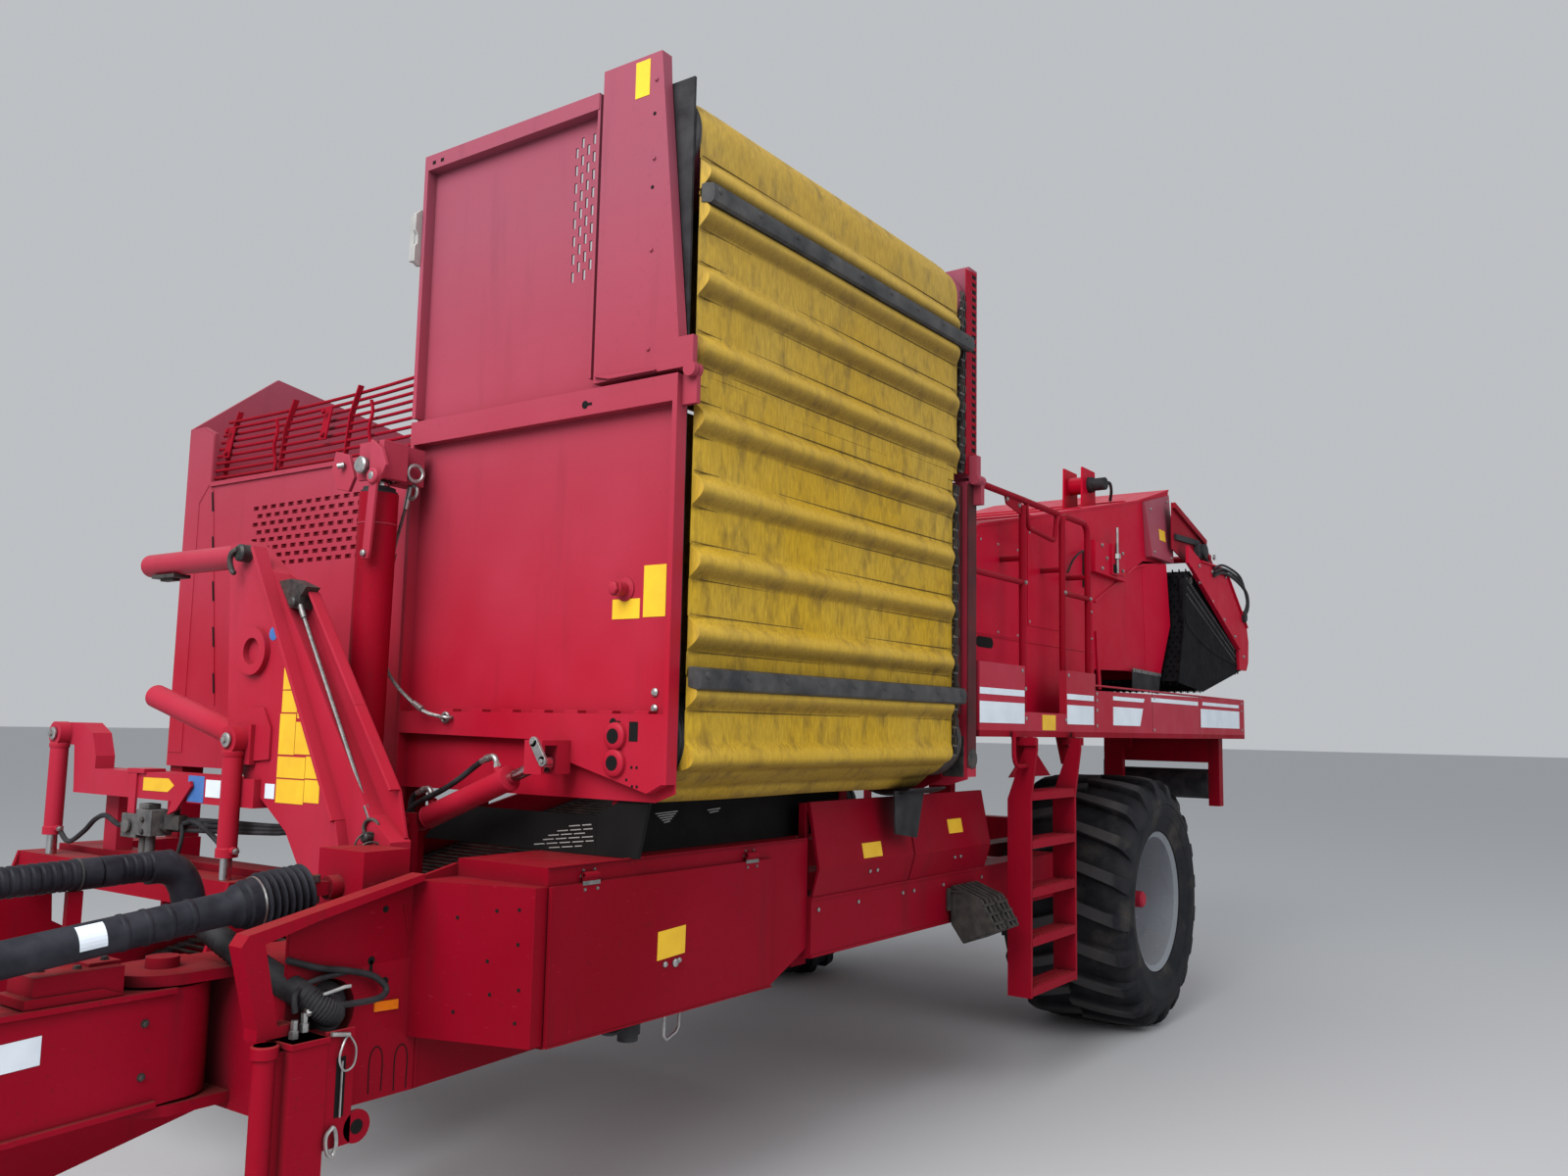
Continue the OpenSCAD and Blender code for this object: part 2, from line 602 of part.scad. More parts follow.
// Closed picking house with its rising roof
module picking_house() color(red) placed() {
    difference() {
        side_plate([
            [2050, panel_z], [2050, 2680], [1950, 2740], [-410, 3240], [-1050, 3420], [-1000, 2900], [-500, 2860],
            [400, 2500], [400, panel_z]
        ], [left_edge + 10, house_y]);
        side_plate([
            [2050 - sheet, panel_z - 1], [2050 - sheet, 2676], [1948, 2740 - sheet], [-412, 3240 - sheet],
            [-1040, 3405], [-994, 2900 + sheet], [-498, 2860 + sheet], [400 + sheet, 2500 + sheet],
            [400 + sheet, panel_z - 1]
        ], [left_edge + 10 + sheet, house_y - sheet]);
    }
    for (y = [1040, 1160])
        side_plate([[-70, 3166], [-60, 3390], [150, 3390], [160, 3117]], [y, y + 12]);
    shaft_y(45, 3290, 55, [1052, 1160]);
    side_plate([[-60, 2670], [-60, 2880], [470, 2870], [470, 2680]], [house_y, house_y + 40]);
}

module trash_chute() color(red) placed() difference() {
    side_plate([
        [400, 2100], [400, 2500], [-350, 2800], [-860, 2888], [-920, 2460], [-770, 2090], [-160, 2120]
    ], [900, house_y]);
    side_plate([[394, 2080], [394, 2496], [-352, 2794], [-854, 2880], [-913, 2460], [-765, 2080]], [906, house_y - 6]);
}

// Side plates, cross tubes and end brackets of the rear separator
module separator_frame() color(red) placed() {
    tip = -rear_reach;
    plate = [
        [house_end(2900), 2900], [house_end(3020), 3020], [-1290, 2950], [-1900, 2960], [tip + 40, 2560],
        [tip, 2450], [tip + 20, 2290], [-2440, 2225], [-2240, 2225], [-2230, 2370]
    ];
    for (y = [240, panel_y - 60])
        side_plate(plate, [y, y + 20]);
    side_plate([
        [house_end(3200), 3200], [house_end(3330), 3330], [-1480, 3080], [-1640, 3070], [-1640, 2955], [-1560, 2955],
        [-1530, 3010], [-1400, 3030]
    ], [house_y - 30, house_y - 18]);
    shaft_y(-1600, 3010, 22, [260, panel_y - 60]);
    for (p = [[-1300, 2960], [-1850, 2900]]) shaft_y(p[0], p[1], 20, [260, panel_y - 60]);
    for (y = [400, 1100])
        side_plate([
            [house_end(2960), 2960], [house_end(3415), 3415], [house_end(3415) - 50, 3415],
            [house_end(3100) - 50, 3100], [-1330, 2990], [-1330, 2930]
        ], [y, y + 100]);
}

// Belt with rubber fingers, falling to the rear
module finger_belt() color("#202124") placed() {
    side_plate([
        [-1020, 2840], [-940, 2700], [-940, 2440], [-800, 2060], [-1350, 2015], [-2200, 2180], [-2400, 2200],
        [-2470, 2290], [-2400, 2420], [-1100, 2880]
    ], [265, panel_y - 65]);
    for (p = [[-1120, 2790], [-2380, 2340]]) shaft_y(p[0], p[1], 25, [260, panel_y - 60]);
}

module rear_roller() color("#1b1c1e") placed() {
    shaft_y(-2050, 1360, 110, [520, 1300]);
    block([-2130, -1980], [500, 520], [1250, 1520]);
}

// Gearbox with the output shaft and the pin of its joint
module gearbox() color("#56585c") placed() {
    block([mast_x[1], 5110], [620, 840], [1100, 1330]);
    shaft_x(shaft_a[1], shaft_a[2], 35, [5110, 5150]);
    block([5150, 5215], [shaft_a[1] - 18, shaft_a[1] + 18], [shaft_a[2] - 20, shaft_a[2] + 20]);
    shaft_z(shaft_a[0], shaft_a[1], shaft_pin, [shaft_a[2] - 42, shaft_a[2] + 42]);
}

// Drive shaft in its guard, from the gearbox to its holder on the drawbar
module pto_shaft() color("#2b2d31") placed() {
    u = (shaft_b - shaft_a) / norm(shaft_b - shaft_a);
    difference() {
        union() {
            bar(shaft_a + u * 45, shaft_b, 48);
            bar(shaft_a + u * 45, shaft_a + u * 290, 76);
            bar(shaft_b - u * 190, shaft_b - u * 40, 76);
            bar(shaft_b - u * 30, shaft_b + u * 100, 32);
            block([shaft_a[0] - 25, shaft_a[0] + 70], [shaft_a[1] - 25, shaft_a[1] + 25], [shaft_a[2] + 20.3, shaft_a[2] + 42]);
            block([shaft_a[0] - 25, shaft_a[0] + 70], [shaft_a[1] - 25, shaft_a[1] + 25], [shaft_a[2] - 42, shaft_a[2] - 20.3]);
        }
        shaft_z(shaft_a[0], shaft_a[1], shaft_pin + fit_gap, [shaft_a[2] - 60, shaft_a[2] + 60]);
    }
}

// Hopper of the bunker: front, right and rear walls over its floor
module hopper() color(red) placed() {
    z0 = hopper_z;
    floor_t = 40;
    hopper_front = belt_front - 4;
    block([hopper_rear, hopper_front], [-hopper_right, hopper_left], [z0, z0 + floor_t]);
    block([hopper_rear, hopper_front], [hopper_left, roller_y - belt_r - 40], [z0 + 20, z0 + floor_t]);
    slots = [-950, 64, 12];
    rows = [2375, 36, 8];
    translate([hopper_front - 20, 0, 0]) rotate([90, 0, 90]) linear_extrude(20) difference() {
        polygon([
            [-hopper_right, z0 + floor_t], [-hopper_right, corner_top], [-1420, corner_top], [-1330, corner_top - 40],
            [-1330, hopper_top], [hopper_left, hopper_top], [hopper_left, z0 + floor_t]
        ]);
        for (i = [0:slots[2] - 1], j = [0:rows[2] - 1])
            translate([slots[0] + slots[1] * (i - (j % 2) / 2), rows[0] + rows[1] * j]) square([40, 18]);
    }
    block([hopper_rear, hopper_rear + 20], [-hopper_right, hopper_left], [z0 + floor_t, corner_top - 100]);
    side_plate([
        [hopper_rear, z0 + floor_t], [hopper_rear, 3160], [4000, 3400], [hopper_front, corner_top],
        [hopper_front, z0 + floor_t]
    ], [-hopper_right, -hopper_right + 20]);
}

// Guard bars above the hopper's front wall
module hopper_cage() color(red) placed() {
    x0 = belt_front - 14;
    pitch = [34, 38];
    lean = 0.8;
    high = pitch[1] * guard_bars;
    for (i = [0:guard_bars - 1]) {
        x = x0 - 6 - lean * i * i;
        bar([x, -1330, hopper_top + 20 + pitch[0] * i], [x, hopper_left - 10, hopper_top + 20 + pitch[1] * i], 7);
    }
    for (y = [-1290, -860, -400, 60])
        side_plate([
            [x0, hopper_top], [x0 - 18, hopper_top], [x0 - 40, hopper_top + high * 0.6],
            [x0 - 80, hopper_top + high], [x0 - 58, hopper_top + high], [x0 - 14, hopper_top + high * 0.6]
        ], [y, y + 8]);
}

// Drawbar with its pivot knuckle, flanges, top boxes, holders and the lugs of the steering rod
module drawbar_beam() color(red) placed() difference() {
    union() {
        shaft_z(pivot_x, pivot_y, 130, [bar_low, bar_top]);
        side_plate([
            [pivot_x, bar_low], [pivot_x, bar_top], [pivot_x + 600, bar_top], [hitch_x - 240, hitch_z + 90],
            [hitch_x - 240, hitch_z - 90], [pivot_x + 600, bar_low - 20]
        ], [pivot_y - bar_w / 2, pivot_y + bar_w / 2]);
        block([pivot_x + 170, pivot_x + 400], [pivot_y - 20, pivot_y + 120], [bar_top - 20, bar_top + 80]);
        block([hitch_x - 860, hitch_x - 800], [pivot_y + 10, pivot_y + 70], [600, 870]);
        block([hitch_x - 870, hitch_x - 790], [pivot_y - 60, pivot_y + 140], [860, 882]);
        block([hitch_x - 860, hitch_x - 820], [pipe_y - 10, pipe_y + 10], [600, pipe_z(hitch_x - 820)]);
        block([5740, 5780], [pipe_y - 10, pipe_y + 10], [900, pipe_z(5780)]);
        for (z = [steer_eye[2] - 46, steer_eye[2] + 32])
            block([steer_eye[0] - 35, steer_eye[0] + 35], [steer_eye[1] - 40, pivot_y - bar_w / 2 + 5], [z, z + 14]);
        for (z = [[-62, -46], [46, 62]])
            shaft_z(steer_eye[0], steer_eye[1], pin_r, [steer_eye[2] + z[0], steer_eye[2] + z[1]]);
    }
    shaft_z(pivot_x, pivot_y, pivot_r + fit_gap, [bar_low - 100, bar_top + 100]);
}

module hitch_eye() color("#2c2d30") placed() difference() {
    union() {
        shaft_z(hitch_x, pivot_y, 90, [hitch_z - 30, hitch_z + 30]);
        block([hitch_x - 220, hitch_x - 40], [pivot_y - 60, pivot_y + 60], [hitch_z - 30, hitch_z + 30]);
        block([hitch_x - 240, hitch_x - 200], [pivot_y - 110, pivot_y + 110], [hitch_z - 90, hitch_z + 90]);
    }
    shaft_z(hitch_x, pivot_y, hitch_bore / 2, [hitch_z - 60, hitch_z + 60]);
}

module hose_conduit() color("#2b2d31") placed() {
    bar(pipe_a, pipe_b, pipe_r);
    bar(pipe_a + [10, 0, 0], [5660, pipe_y + 30, 1180], pipe_r + 3);
}

// Ladder below the platform
module ladder() color(red) placed() difference() {
    union() {
        for (x = ladder_x)
            cross_plate([
                [1440, 470], [1560, 470], [1560, 1400], [1592, 1640], [1592, 1695], [1545, 1695], [1440, 1400]
            ], [x, x + 20]);
        for (i = [0:4]) block([ladder_x[0] + 20, ladder_x[1]], [1450, 1560], [490 + 230 * i, 515 + 230 * i]);
    }
    shaft_x(ladder_hinge[0], ladder_hinge[1], ladder_pin + fit_gap, [ladder_x[0] - 1, ladder_x[1] + 21]);
}

// Lower side walls of the discharge elevator with their bars, lugs and the kink's pins
module lower_walls() color(red) placed() {
    low = fold_z - 200;
    top = kink_z - run_gap;
    out = belt_y - 20;
    strip = [strip_x + 10, strip_x + 90];
    cross_plate([[wall_in, low], [wall_in, top], [out, top], [out, low + 30], [out - 80, low]], [wall_x, wall_x + sheet]);
    block([wall_x + sheet, wall_out], [wall_in, wall_in + 20], [low, top]);
    block([wall_x + sheet, wall_out], [out - 20, out], [low + 60, top]);
    block([wall_x + sheet, wall_out], [wall_in + 20, out - 20], [top - wall_bar, top]);
    cross_plate([
        [wall_in + 20, 1680], [880, 1670], [950, 1580], [1030, 1610], [out - 80, 1510], [out - 20, 1540],
        [out - 20, 1760], [wall_in + 20, 1760]
    ], [wall_x + sheet, wall_out]);
    cross_plate([
        [wall_in, low], [wall_in, top], [belt_y, top], [belt_y, low + 30], [out - 80, low]
    ], [strip[1], strip[1] + sheet]);
    block(strip, [belt_y - 100, belt_y], [low + 40, top]);
    kink_lug([strip[0], strip[0] + 35], [strip[0] + 35, strip[1]], -1);
    kink_lug([wall_x + sheet, wall_x + 25], [wall_x + 25, wall_out], -1);
    // ears round the rods of the fold and tilt cylinders
    block([wall_out, 4604], [wall_in, 260], [2600, 2740]);
    block([4590, 4604], [150, wall_in], [2600, 2740]);
    block([4590, 4710], [150, 250], [2726, 2740]);
    block([4696, 4710], [150, 250], [2600, 2726]);
    block([wall_out, tilt_eye[0] - 28], [tilt_eye[1] - 40, tilt_eye[1] + 40], [tilt_eye[2] - 35, tilt_eye[2] + 75]);
    block([tilt_eye[0] - 28, tilt_eye[0] + 42], [tilt_eye[1] - 40, tilt_eye[1] + 40], [tilt_eye[2] + 58, tilt_eye[2] + 75]);
    block([tilt_eye[0] + 28, tilt_eye[0] + 42], [tilt_eye[1] - 40, tilt_eye[1] + 40], [tilt_eye[2] - 35, tilt_eye[2] + 58]);
}

// Lug of the kink hinge, below it with its pin or above it with its bore
module kink_lug(x, pin_x, side) difference() {
    union() {
        shaft_x(kink_y, kink_z, kink_r, x);
        block(x, [belt_y - 40, kink_y + kink_r - 10], side < 0 ? [kink_z - 110, kink_z - run_gap] : [kink_z + run_gap, kink_z + 110]);
        block(x, [kink_y - kink_r + 3, kink_y + kink_r - 10], side < 0 ? [kink_z - run_gap, kink_z] : [kink_z, kink_z + run_gap]);
        if (side < 0) shaft_x(kink_y, kink_z, 12, pin_x);
    }
    if (side > 0) shaft_x(kink_y, kink_z, 12 + fit_gap, [x[0] - 1, x[1] + 1]);
}

module belt_shell(z0, z1, end_z) difference() {
    union() {
        block([belt_rear, belt_front], [belt_y - 2 * belt_r, belt_y], [z0, z1]);
        shaft_x(roller_y, end_z, belt_r, [belt_rear, belt_front]);
    }
    block([belt_rear - 1, belt_front + 1], [belt_y - 2 * belt_r + belt_t, belt_y - belt_t], [z0 - 1, z1 + 1]);
    shaft_x(roller_y, end_z, belt_r - belt_t, [belt_rear - 1, belt_front + 1]);
}

// A bar of the belt's length on its face, outline in its way out and z, turned round the lower roller
module on_belt(outline, z) {
    turn = z < fold_z ? asin(max(-1, (z - fold_z) / belt_r)) : 0;
    for (side = turn < 0 ? [0] : [0, 1])
        translate([belt_rear, roller_y, turn < 0 ? fold_z : z]) mirror([0, side, 0]) rotate([turn, 0, 0])
            rotate([90, 0, 90]) linear_extrude(belt_front - belt_rear) translate([belt_r, 0]) polygon(outline);
}

module rib(z) on_belt([
    [-8, -48], [14, -44], [rib_h - 4, -22], [rib_h, 0], [rib_h - 8, 22], [12, 46], [-8, 54]
], z);

module slat(z) on_belt([[-8, -26], [rib_h + 5, -36], [rib_h + 12, -30], [rib_h + 8, 24], [-8, 28]], z);

module lower_belt() color("#c9a227") placed() {
    belt_shell(fold_z, kink_z - run_gap, fold_z);
    for (z = rib_z) if (z < kink_z - 60) rib(z);
    slat(slat_z[0]);
    rib(fold_z - belt_r);
}

module upper_belt() color("#c9a227") placed() {
    belt_shell(kink_z + run_gap, top_roller_z, top_roller_z);
    for (z = rib_z) if (z > kink_z + 60) rib(z);
    slat(slat_z[1]);
}

module belt_roller() color("#4a4a4c") placed() {
    shaft_x(roller_y, fold_z, belt_r - belt_t - 0.3, [belt_rear, belt_front]);
    shaft_x(roller_y, fold_z, 40, [strip_x + 90 + sheet, wall_x]);
}

module wall_rope() color("#55565a") placed() cord(rope_points, rope_r, 8);

module upper_walls() color(red) placed() {
    z0 = kink_z + run_gap;
    out = belt_y - 20;
    post = [1100, belt_y - 130];
    top = wall_top - 70;
    strip = [strip_x + 10, strip_x + 90];
    holes = [950, 28, 6];
    rows = [wall_top - 720, 66, 8];
    translate([wall_x, 0, 0]) rotate([90, 0, 90]) linear_extrude(sheet) difference() {
        polygon([
            [wall_in, z0], [wall_in, top], [post[0], top], [post[0], wall_top], [post[1], wall_top], [out - 40, z0]
        ]);
        for (i = [0:holes[2] - 1], j = [0:rows[2] - 1])
            translate([holes[0] + holes[1] * i, rows[0] + rows[1] * (j + (i % 2) / 2)]) square([13, 38]);
    }
    cross_plate([
        [post[0] + 20, z0], [post[0] + 20, wall_top], [post[1], wall_top], [out, z0 + 90], [out, z0]
    ], [wall_x + sheet, wall_out]);
    block([wall_x + sheet, wall_out], [wall_in, wall_in + 20], [z0, top]);
    block([wall_x + sheet, wall_out], [wall_in + 20, post[0]], [top - 60, top]);
    strip_top = wall_top - 120;
    cross_plate([
        [wall_in, z0], [wall_in, strip_top - 30], [belt_y, strip_top], [belt_y, z0]
    ], [strip[1], strip[1] + sheet]);
    block(strip, [belt_y - 100, belt_y], [z0, strip_top]);
    kink_lug([strip[0] + 38, strip[1]], [0, 0], 1);
    kink_lug([wall_x + 28, wall_out], [0, 0], 1);
    shaft_x(roller_y, top_roller_z, belt_r - belt_t - 0.3, [belt_rear, belt_front]);
    shaft_x(roller_y, top_roller_z, 40, [strip[1] + sheet, wall_x]);
}

module fold_barrel() color(red) placed() barrel(tall_foot, tall_eye, tall_r, tall_rod, tall_pin, 0.93, 48, false);

module fold_rod() color("silver") placed() rod(tall_foot, tall_eye, tall_rod, 140, tall_pin, 56, 38, false);

module tilt_barrel() color(red) placed() barrel(tilt_foot, tilt_eye, small_r, rod_r, pin_r, 0.75, 28, false);

module tilt_rod() color("silver") placed() rod(tilt_foot, tilt_eye, rod_r, 90, pin_r, 32, 20, false);

module steer_barrel() color(red) placed() barrel(steer_foot, steer_eye, small_r, rod_r, pin_r, 0.55, 28, true);

module steer_rod() color("silver") placed() rod(steer_foot, steer_eye, rod_r, 180, pin_r, 32, 24, true);

// Intake frame between its side plates, with the shares
intake_y = [-channel_out - 28, left_edge + 28];
module intake_frame() color(red) placed() {
    for (y = [intake_y[0], intake_y[1] - 18]) difference() {
        side_plate([
            [4550, 540], [4550, 680], [4870, 860], [4890, 1160], [5020, 1160], [5100, 900], [6000, 600], [6150, 420],
            [5700, 300]
        ], [y, y + 18]);
        shaft_y(intake_x, intake_z, 30 + fit_gap, [y - 1, y + 19]);
    }
    block([4890, 5020], [intake_y[0] + 18, intake_y[1] - 18], [1060, 1160]);
    shaft_y(5750, 400, 40, [intake_y[0] + 18, intake_y[1] - 18]);
    for (row = [-1120, -440], i = [-1:1])
        side_plate([[5740, 375], [5740, 400], [5800, 390], [6120, 262], [6120, 250], [5800, 350]],
            [row + 170 * i - 75, row + 170 * i + 75]);
}

module intake_rollers() color("#3a3a3c") placed() {
    for (y = [-1480, -785, -110]) shaft_y(5950, 480, 170, [y, y + 20]);
    shaft_y(5950, 480, 30, [intake_y[0] + 18, intake_y[1] - 18]);
}

module intake_rods() color("silver") placed() for (y = lift_y) shaft_z(lift_x, y, rod_r, [1160.3, 1400]);

main_frame();
side_frame();
portal_frame();
axle_beam();
gantry();
side_guard();
jack_tube();
storage_box();
side_covers();
wheel_chocks();
web_channel();
main_web();
rear_web();
platform();
side_panel();
railings();
picking_house();
trash_chute();
separator_frame();
finger_belt();
rear_roller();
gearbox();
hopper();
hopper_cage();
drawbar_beam();
hitch_eye();
hose_conduit();
pto_shaft();
jack_leg();
box_door();
ladder();
lower_walls();
lower_belt();
belt_roller();
wall_rope();
upper_walls();
upper_belt();
fold_barrel();
fold_rod();
tilt_barrel();
tilt_rod();
intake_frame();
intake_rollers();
intake_rods();
tyre(1);  // tyre_left
tyre(-1);  // tyre_right
rim(1);  // rim_left
rim(-1);  // rim_right
steer_barrel();
steer_rod();
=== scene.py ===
import math
import random

import bmesh
import bpy
from mathutils import Matrix, Vector


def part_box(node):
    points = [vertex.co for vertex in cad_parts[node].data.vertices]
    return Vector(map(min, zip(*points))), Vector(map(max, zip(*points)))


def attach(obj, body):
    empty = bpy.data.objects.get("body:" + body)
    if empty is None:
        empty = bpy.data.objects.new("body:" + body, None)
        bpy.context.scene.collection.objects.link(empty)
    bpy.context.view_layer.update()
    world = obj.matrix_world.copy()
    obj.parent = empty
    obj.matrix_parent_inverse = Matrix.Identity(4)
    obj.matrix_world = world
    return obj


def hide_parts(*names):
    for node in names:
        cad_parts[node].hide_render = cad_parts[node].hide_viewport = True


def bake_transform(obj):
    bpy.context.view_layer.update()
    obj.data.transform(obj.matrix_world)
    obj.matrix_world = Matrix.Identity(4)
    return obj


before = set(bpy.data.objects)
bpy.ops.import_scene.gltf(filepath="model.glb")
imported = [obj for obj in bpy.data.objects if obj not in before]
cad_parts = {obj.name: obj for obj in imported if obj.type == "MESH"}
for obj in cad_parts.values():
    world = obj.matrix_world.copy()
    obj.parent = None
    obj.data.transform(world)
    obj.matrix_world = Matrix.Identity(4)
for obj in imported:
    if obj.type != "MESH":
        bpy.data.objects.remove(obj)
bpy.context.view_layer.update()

# Places in this script are metres forward of the axle, left of the centre line and up from the ground
AXLE_X = (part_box("rim_left")[0].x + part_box("rim_left")[1].x) / 2
FORWARD, LEFT, UP = Vector((1, 0, 0)), Vector((0, 1, 0)), Vector((0, 0, 1))
# How deep thin trim sits in the face that it lies on
SUNK = 0.001


def at(x, y, z):
    """A place in the frame from one in the axle's axes."""
    return Vector((x + AXLE_X, y, z))


# Camera, fitted to the photograph's vanishing directions
CAMERA_AT = (7.5, 4.02, 1.73)
YAW, PITCH, ROLL = math.radians(214.87), math.radians(6.37), math.radians(1.1)
LENS, SENSOR = 28.42, 36.0


def make_camera():
    forward = Vector((math.cos(YAW) * math.cos(PITCH), math.sin(YAW) * math.cos(PITCH), math.sin(PITCH)))
    level = Vector((math.sin(YAW), -math.cos(YAW), 0))
    upright = level.cross(forward)
    right = math.cos(ROLL) * level + math.sin(ROLL) * upright
    up = math.cos(ROLL) * upright - math.sin(ROLL) * level
    data = bpy.data.cameras.new("camera")
    data.lens, data.sensor_width = LENS, SENSOR
    data.clip_end = 200
    camera = bpy.data.objects.new("camera", data)
    turn = Matrix((right, up, -forward)).transposed().to_4x4()
    camera.matrix_world = Matrix.Translation(at(*CAMERA_AT)) @ turn
    bpy.context.scene.collection.objects.link(camera)
    bpy.context.scene.camera = camera


class Graph:
    """A material with its shader, and short names for the nodes that it uses."""

    def __init__(self, name, slot, roughness=0.5, metallic=0.0):
        self.slot = slot
        self.material = bpy.data.materials.new(name)
        self.material.use_nodes = True
        self.tree = self.material.node_tree
        self.shader = self.tree.nodes["Principled BSDF"]
        self.shader.inputs["Roughness"].default_value = roughness
        self.shader.inputs["Metallic"].default_value = metallic
        self.place = self.tree.nodes.new("ShaderNodeTexCoord").outputs["Object"]

    def node(self, kind, inputs, **settings):
        made = self.tree.nodes.new(kind)
        for key, value in settings.items():
            setattr(made, key, value)
        for key, value in inputs.items():
            self.feed(made.inputs[key], value)
        return made

    def feed(self, socket, value):
        if isinstance(value, bpy.types.NodeSocket):
            self.tree.links.new(value, socket)
        else:
            socket.default_value = value

    def noise(self, scale, detail=4.0, stretch=(1, 1, 1), roughness=0.6):
        moved = self.node("ShaderNodeMapping", {"Vector": self.place, "Scale": stretch})
        made = self.node("ShaderNodeTexNoise", {
            "Vector": moved.outputs["Vector"], "Scale": scale, "Detail": detail, "Roughness": roughness,
        })
        return made.outputs["Fac"]

    def band(self, value, low, high, start=0.0, end=1.0):
        """The value stretched between low and high and held there."""
        made = self.node("ShaderNodeMapRange", {
            "Value": value, "From Min": low, "From Max": high, "To Min": start, "To Max": end,
        })
        return made.outputs["Result"]

    def math(self, operation, a, b=0.0):
        return self.node("ShaderNodeMath", {0: a, 1: b}, operation=operation).outputs[0]

    def axis(self, name):
        return self.node("ShaderNodeSeparateXYZ", {"Vector": self.place}).outputs[name]

    def upward(self):
        """How far the surface faces up, from -1 to 1."""
        normal = self.node("ShaderNodeNewGeometry", {}).outputs["Normal"]
        return self.node("ShaderNodeSeparateXYZ", {"Vector": normal}).outputs["Z"]

    def mix(self, share, a, b):
        made = self.tree.nodes.new("ShaderNodeMix")
        made.data_type = "RGBA"
        colours = [s for s in made.inputs if s.type == "RGBA"]
        self.feed(made.inputs[0], share)
        self.feed(colours[0], a if isinstance(a, bpy.types.NodeSocket) else (*a, 1))
        self.feed(colours[1], b if isinstance(b, bpy.types.NodeSocket) else (*b, 1))
        return [s for s in made.outputs if s.type == "RGBA"][0]

    def corners(self, distance):
        """Ambient occlusion: near 1 in the open and lower in corners, where shade falls; what it darkens is
        painted shade.
        """
        made = self.node("ShaderNodeAmbientOcclusion", {"Distance": distance}, samples=4)
        return made.outputs["AO"]

    def finish(self, colour, roughness=None, bump=(), coat=0.0, specular=0.5):
        """bump lists a height, its depth in metres and its strength."""
        self.feed(self.shader.inputs["Base Color"], colour)
        if roughness is not None:
            self.feed(self.shader.inputs["Roughness"], roughness)
        self.shader.inputs["Coat Weight"].default_value = coat
        self.shader.inputs["Coat Roughness"].default_value = 0.25
        self.shader.inputs["Specular IOR Level"].default_value = specular
        normal = None
        for height, depth, strength in bump:
            made = self.node("ShaderNodeBump", {"Height": height, "Distance": depth, "Strength": strength})
            if normal is not None:
                self.feed(made.inputs["Normal"], normal)
            normal = made.outputs["Normal"]
        if normal is not None:
            self.feed(self.shader.inputs["Normal"], normal)
        return self


# Linear colours of the finishes
RED = (0.4, 0.008, 0.026)
RED_FADED = (0.46, 0.03, 0.062)
# Near-black for dirt marks, and for painted shade in corners
GRIME_AND_SHADE = (0.02, 0.014, 0.013)
SOIL = (0.15, 0.105, 0.07)
MUSTARD = (0.64, 0.385, 0.012)
MUSTARD_PALE = (0.64, 0.41, 0.04)
# Brown for belt dirt, also used as painted shade under the ribs
BELT_DIRT_AND_SHADE = (0.1, 0.056, 0.022)
WHITE = (0.8, 0.88, 0.96)
SIGN_YELLOW = (0.9, 0.56, 0.03)
TAPE_BLUE = (0.05, 0.15, 0.42)


def paint(
    name, colour, faded, grime_and_shade, dust, slot="red_paint", roughness=0.38, bleach=0.0, flat_tint=None, gloss=0.05,
):
    """Sheet paint: fades in patches, gathers dirt in specks and runs, darkens in its corners with painted
    shade and dirt, and takes a tint on what lies flat, soil-coloured dust unless another is given.
    """
    g = Graph(name, slot)
    patch = g.band(g.noise(0.9, 3), 0.35, 0.7)
    base = g.mix(patch, colour, faded)
    if bleach:
        base = g.mix(g.band(g.axis("Z"), 1.9, 3.6, 0, bleach), base, (0.27, 0.085, 0.125))
    speck = g.band(g.noise(55, 3), 0.6, 0.74, 0, 0.3 * grime_and_shade)
    runs = g.band(g.noise(5, 5, (2.2, 2.2, 0.22)), 0.56, 0.8, 0, 0.42 * grime_and_shade)
    # Darker in corners by ambient occlusion: painted shade, with dirt there too
    corner = g.band(g.corners(0.1), 0.25, 0.85, 0.75 * grime_and_shade, 0)
    marks = g.math("MAXIMUM", g.math("MAXIMUM", speck, runs), corner)
    # The dirt specks and runs and the painted corner shade darken the base together
    base = g.mix(marks, base, GRIME_AND_SHADE)
    flat = g.band(g.upward(), 0.35, 0.95, 0, dust)
    # What faces up mixes toward a tint: soil-coloured dust unless paint() is given another
    flat_mask = g.math("MULTIPLY", flat, g.band(g.noise(9, 4), 0.3, 0.7, 0.4, 1))
    base = g.mix(flat_mask, base, flat_tint or SOIL)
    scratch = g.band(g.noise(26, 2, (1, 1, 5)), 0.7, 0.73, 0, 0.28)
    base = g.mix(scratch, base, RED_FADED if slot == "red_paint" else WHITE)
    rough = g.band(g.noise(3.5, 4), 0.3, 0.75, roughness, roughness + 0.22)
    dents, peel = (g.noise(1.6, 2), 0.012, 0.35), (g.noise(180, 2), 0.0006, 0.25)
    return g.finish(base, rough, [dents, peel], coat=gloss / 2, specular=gloss)


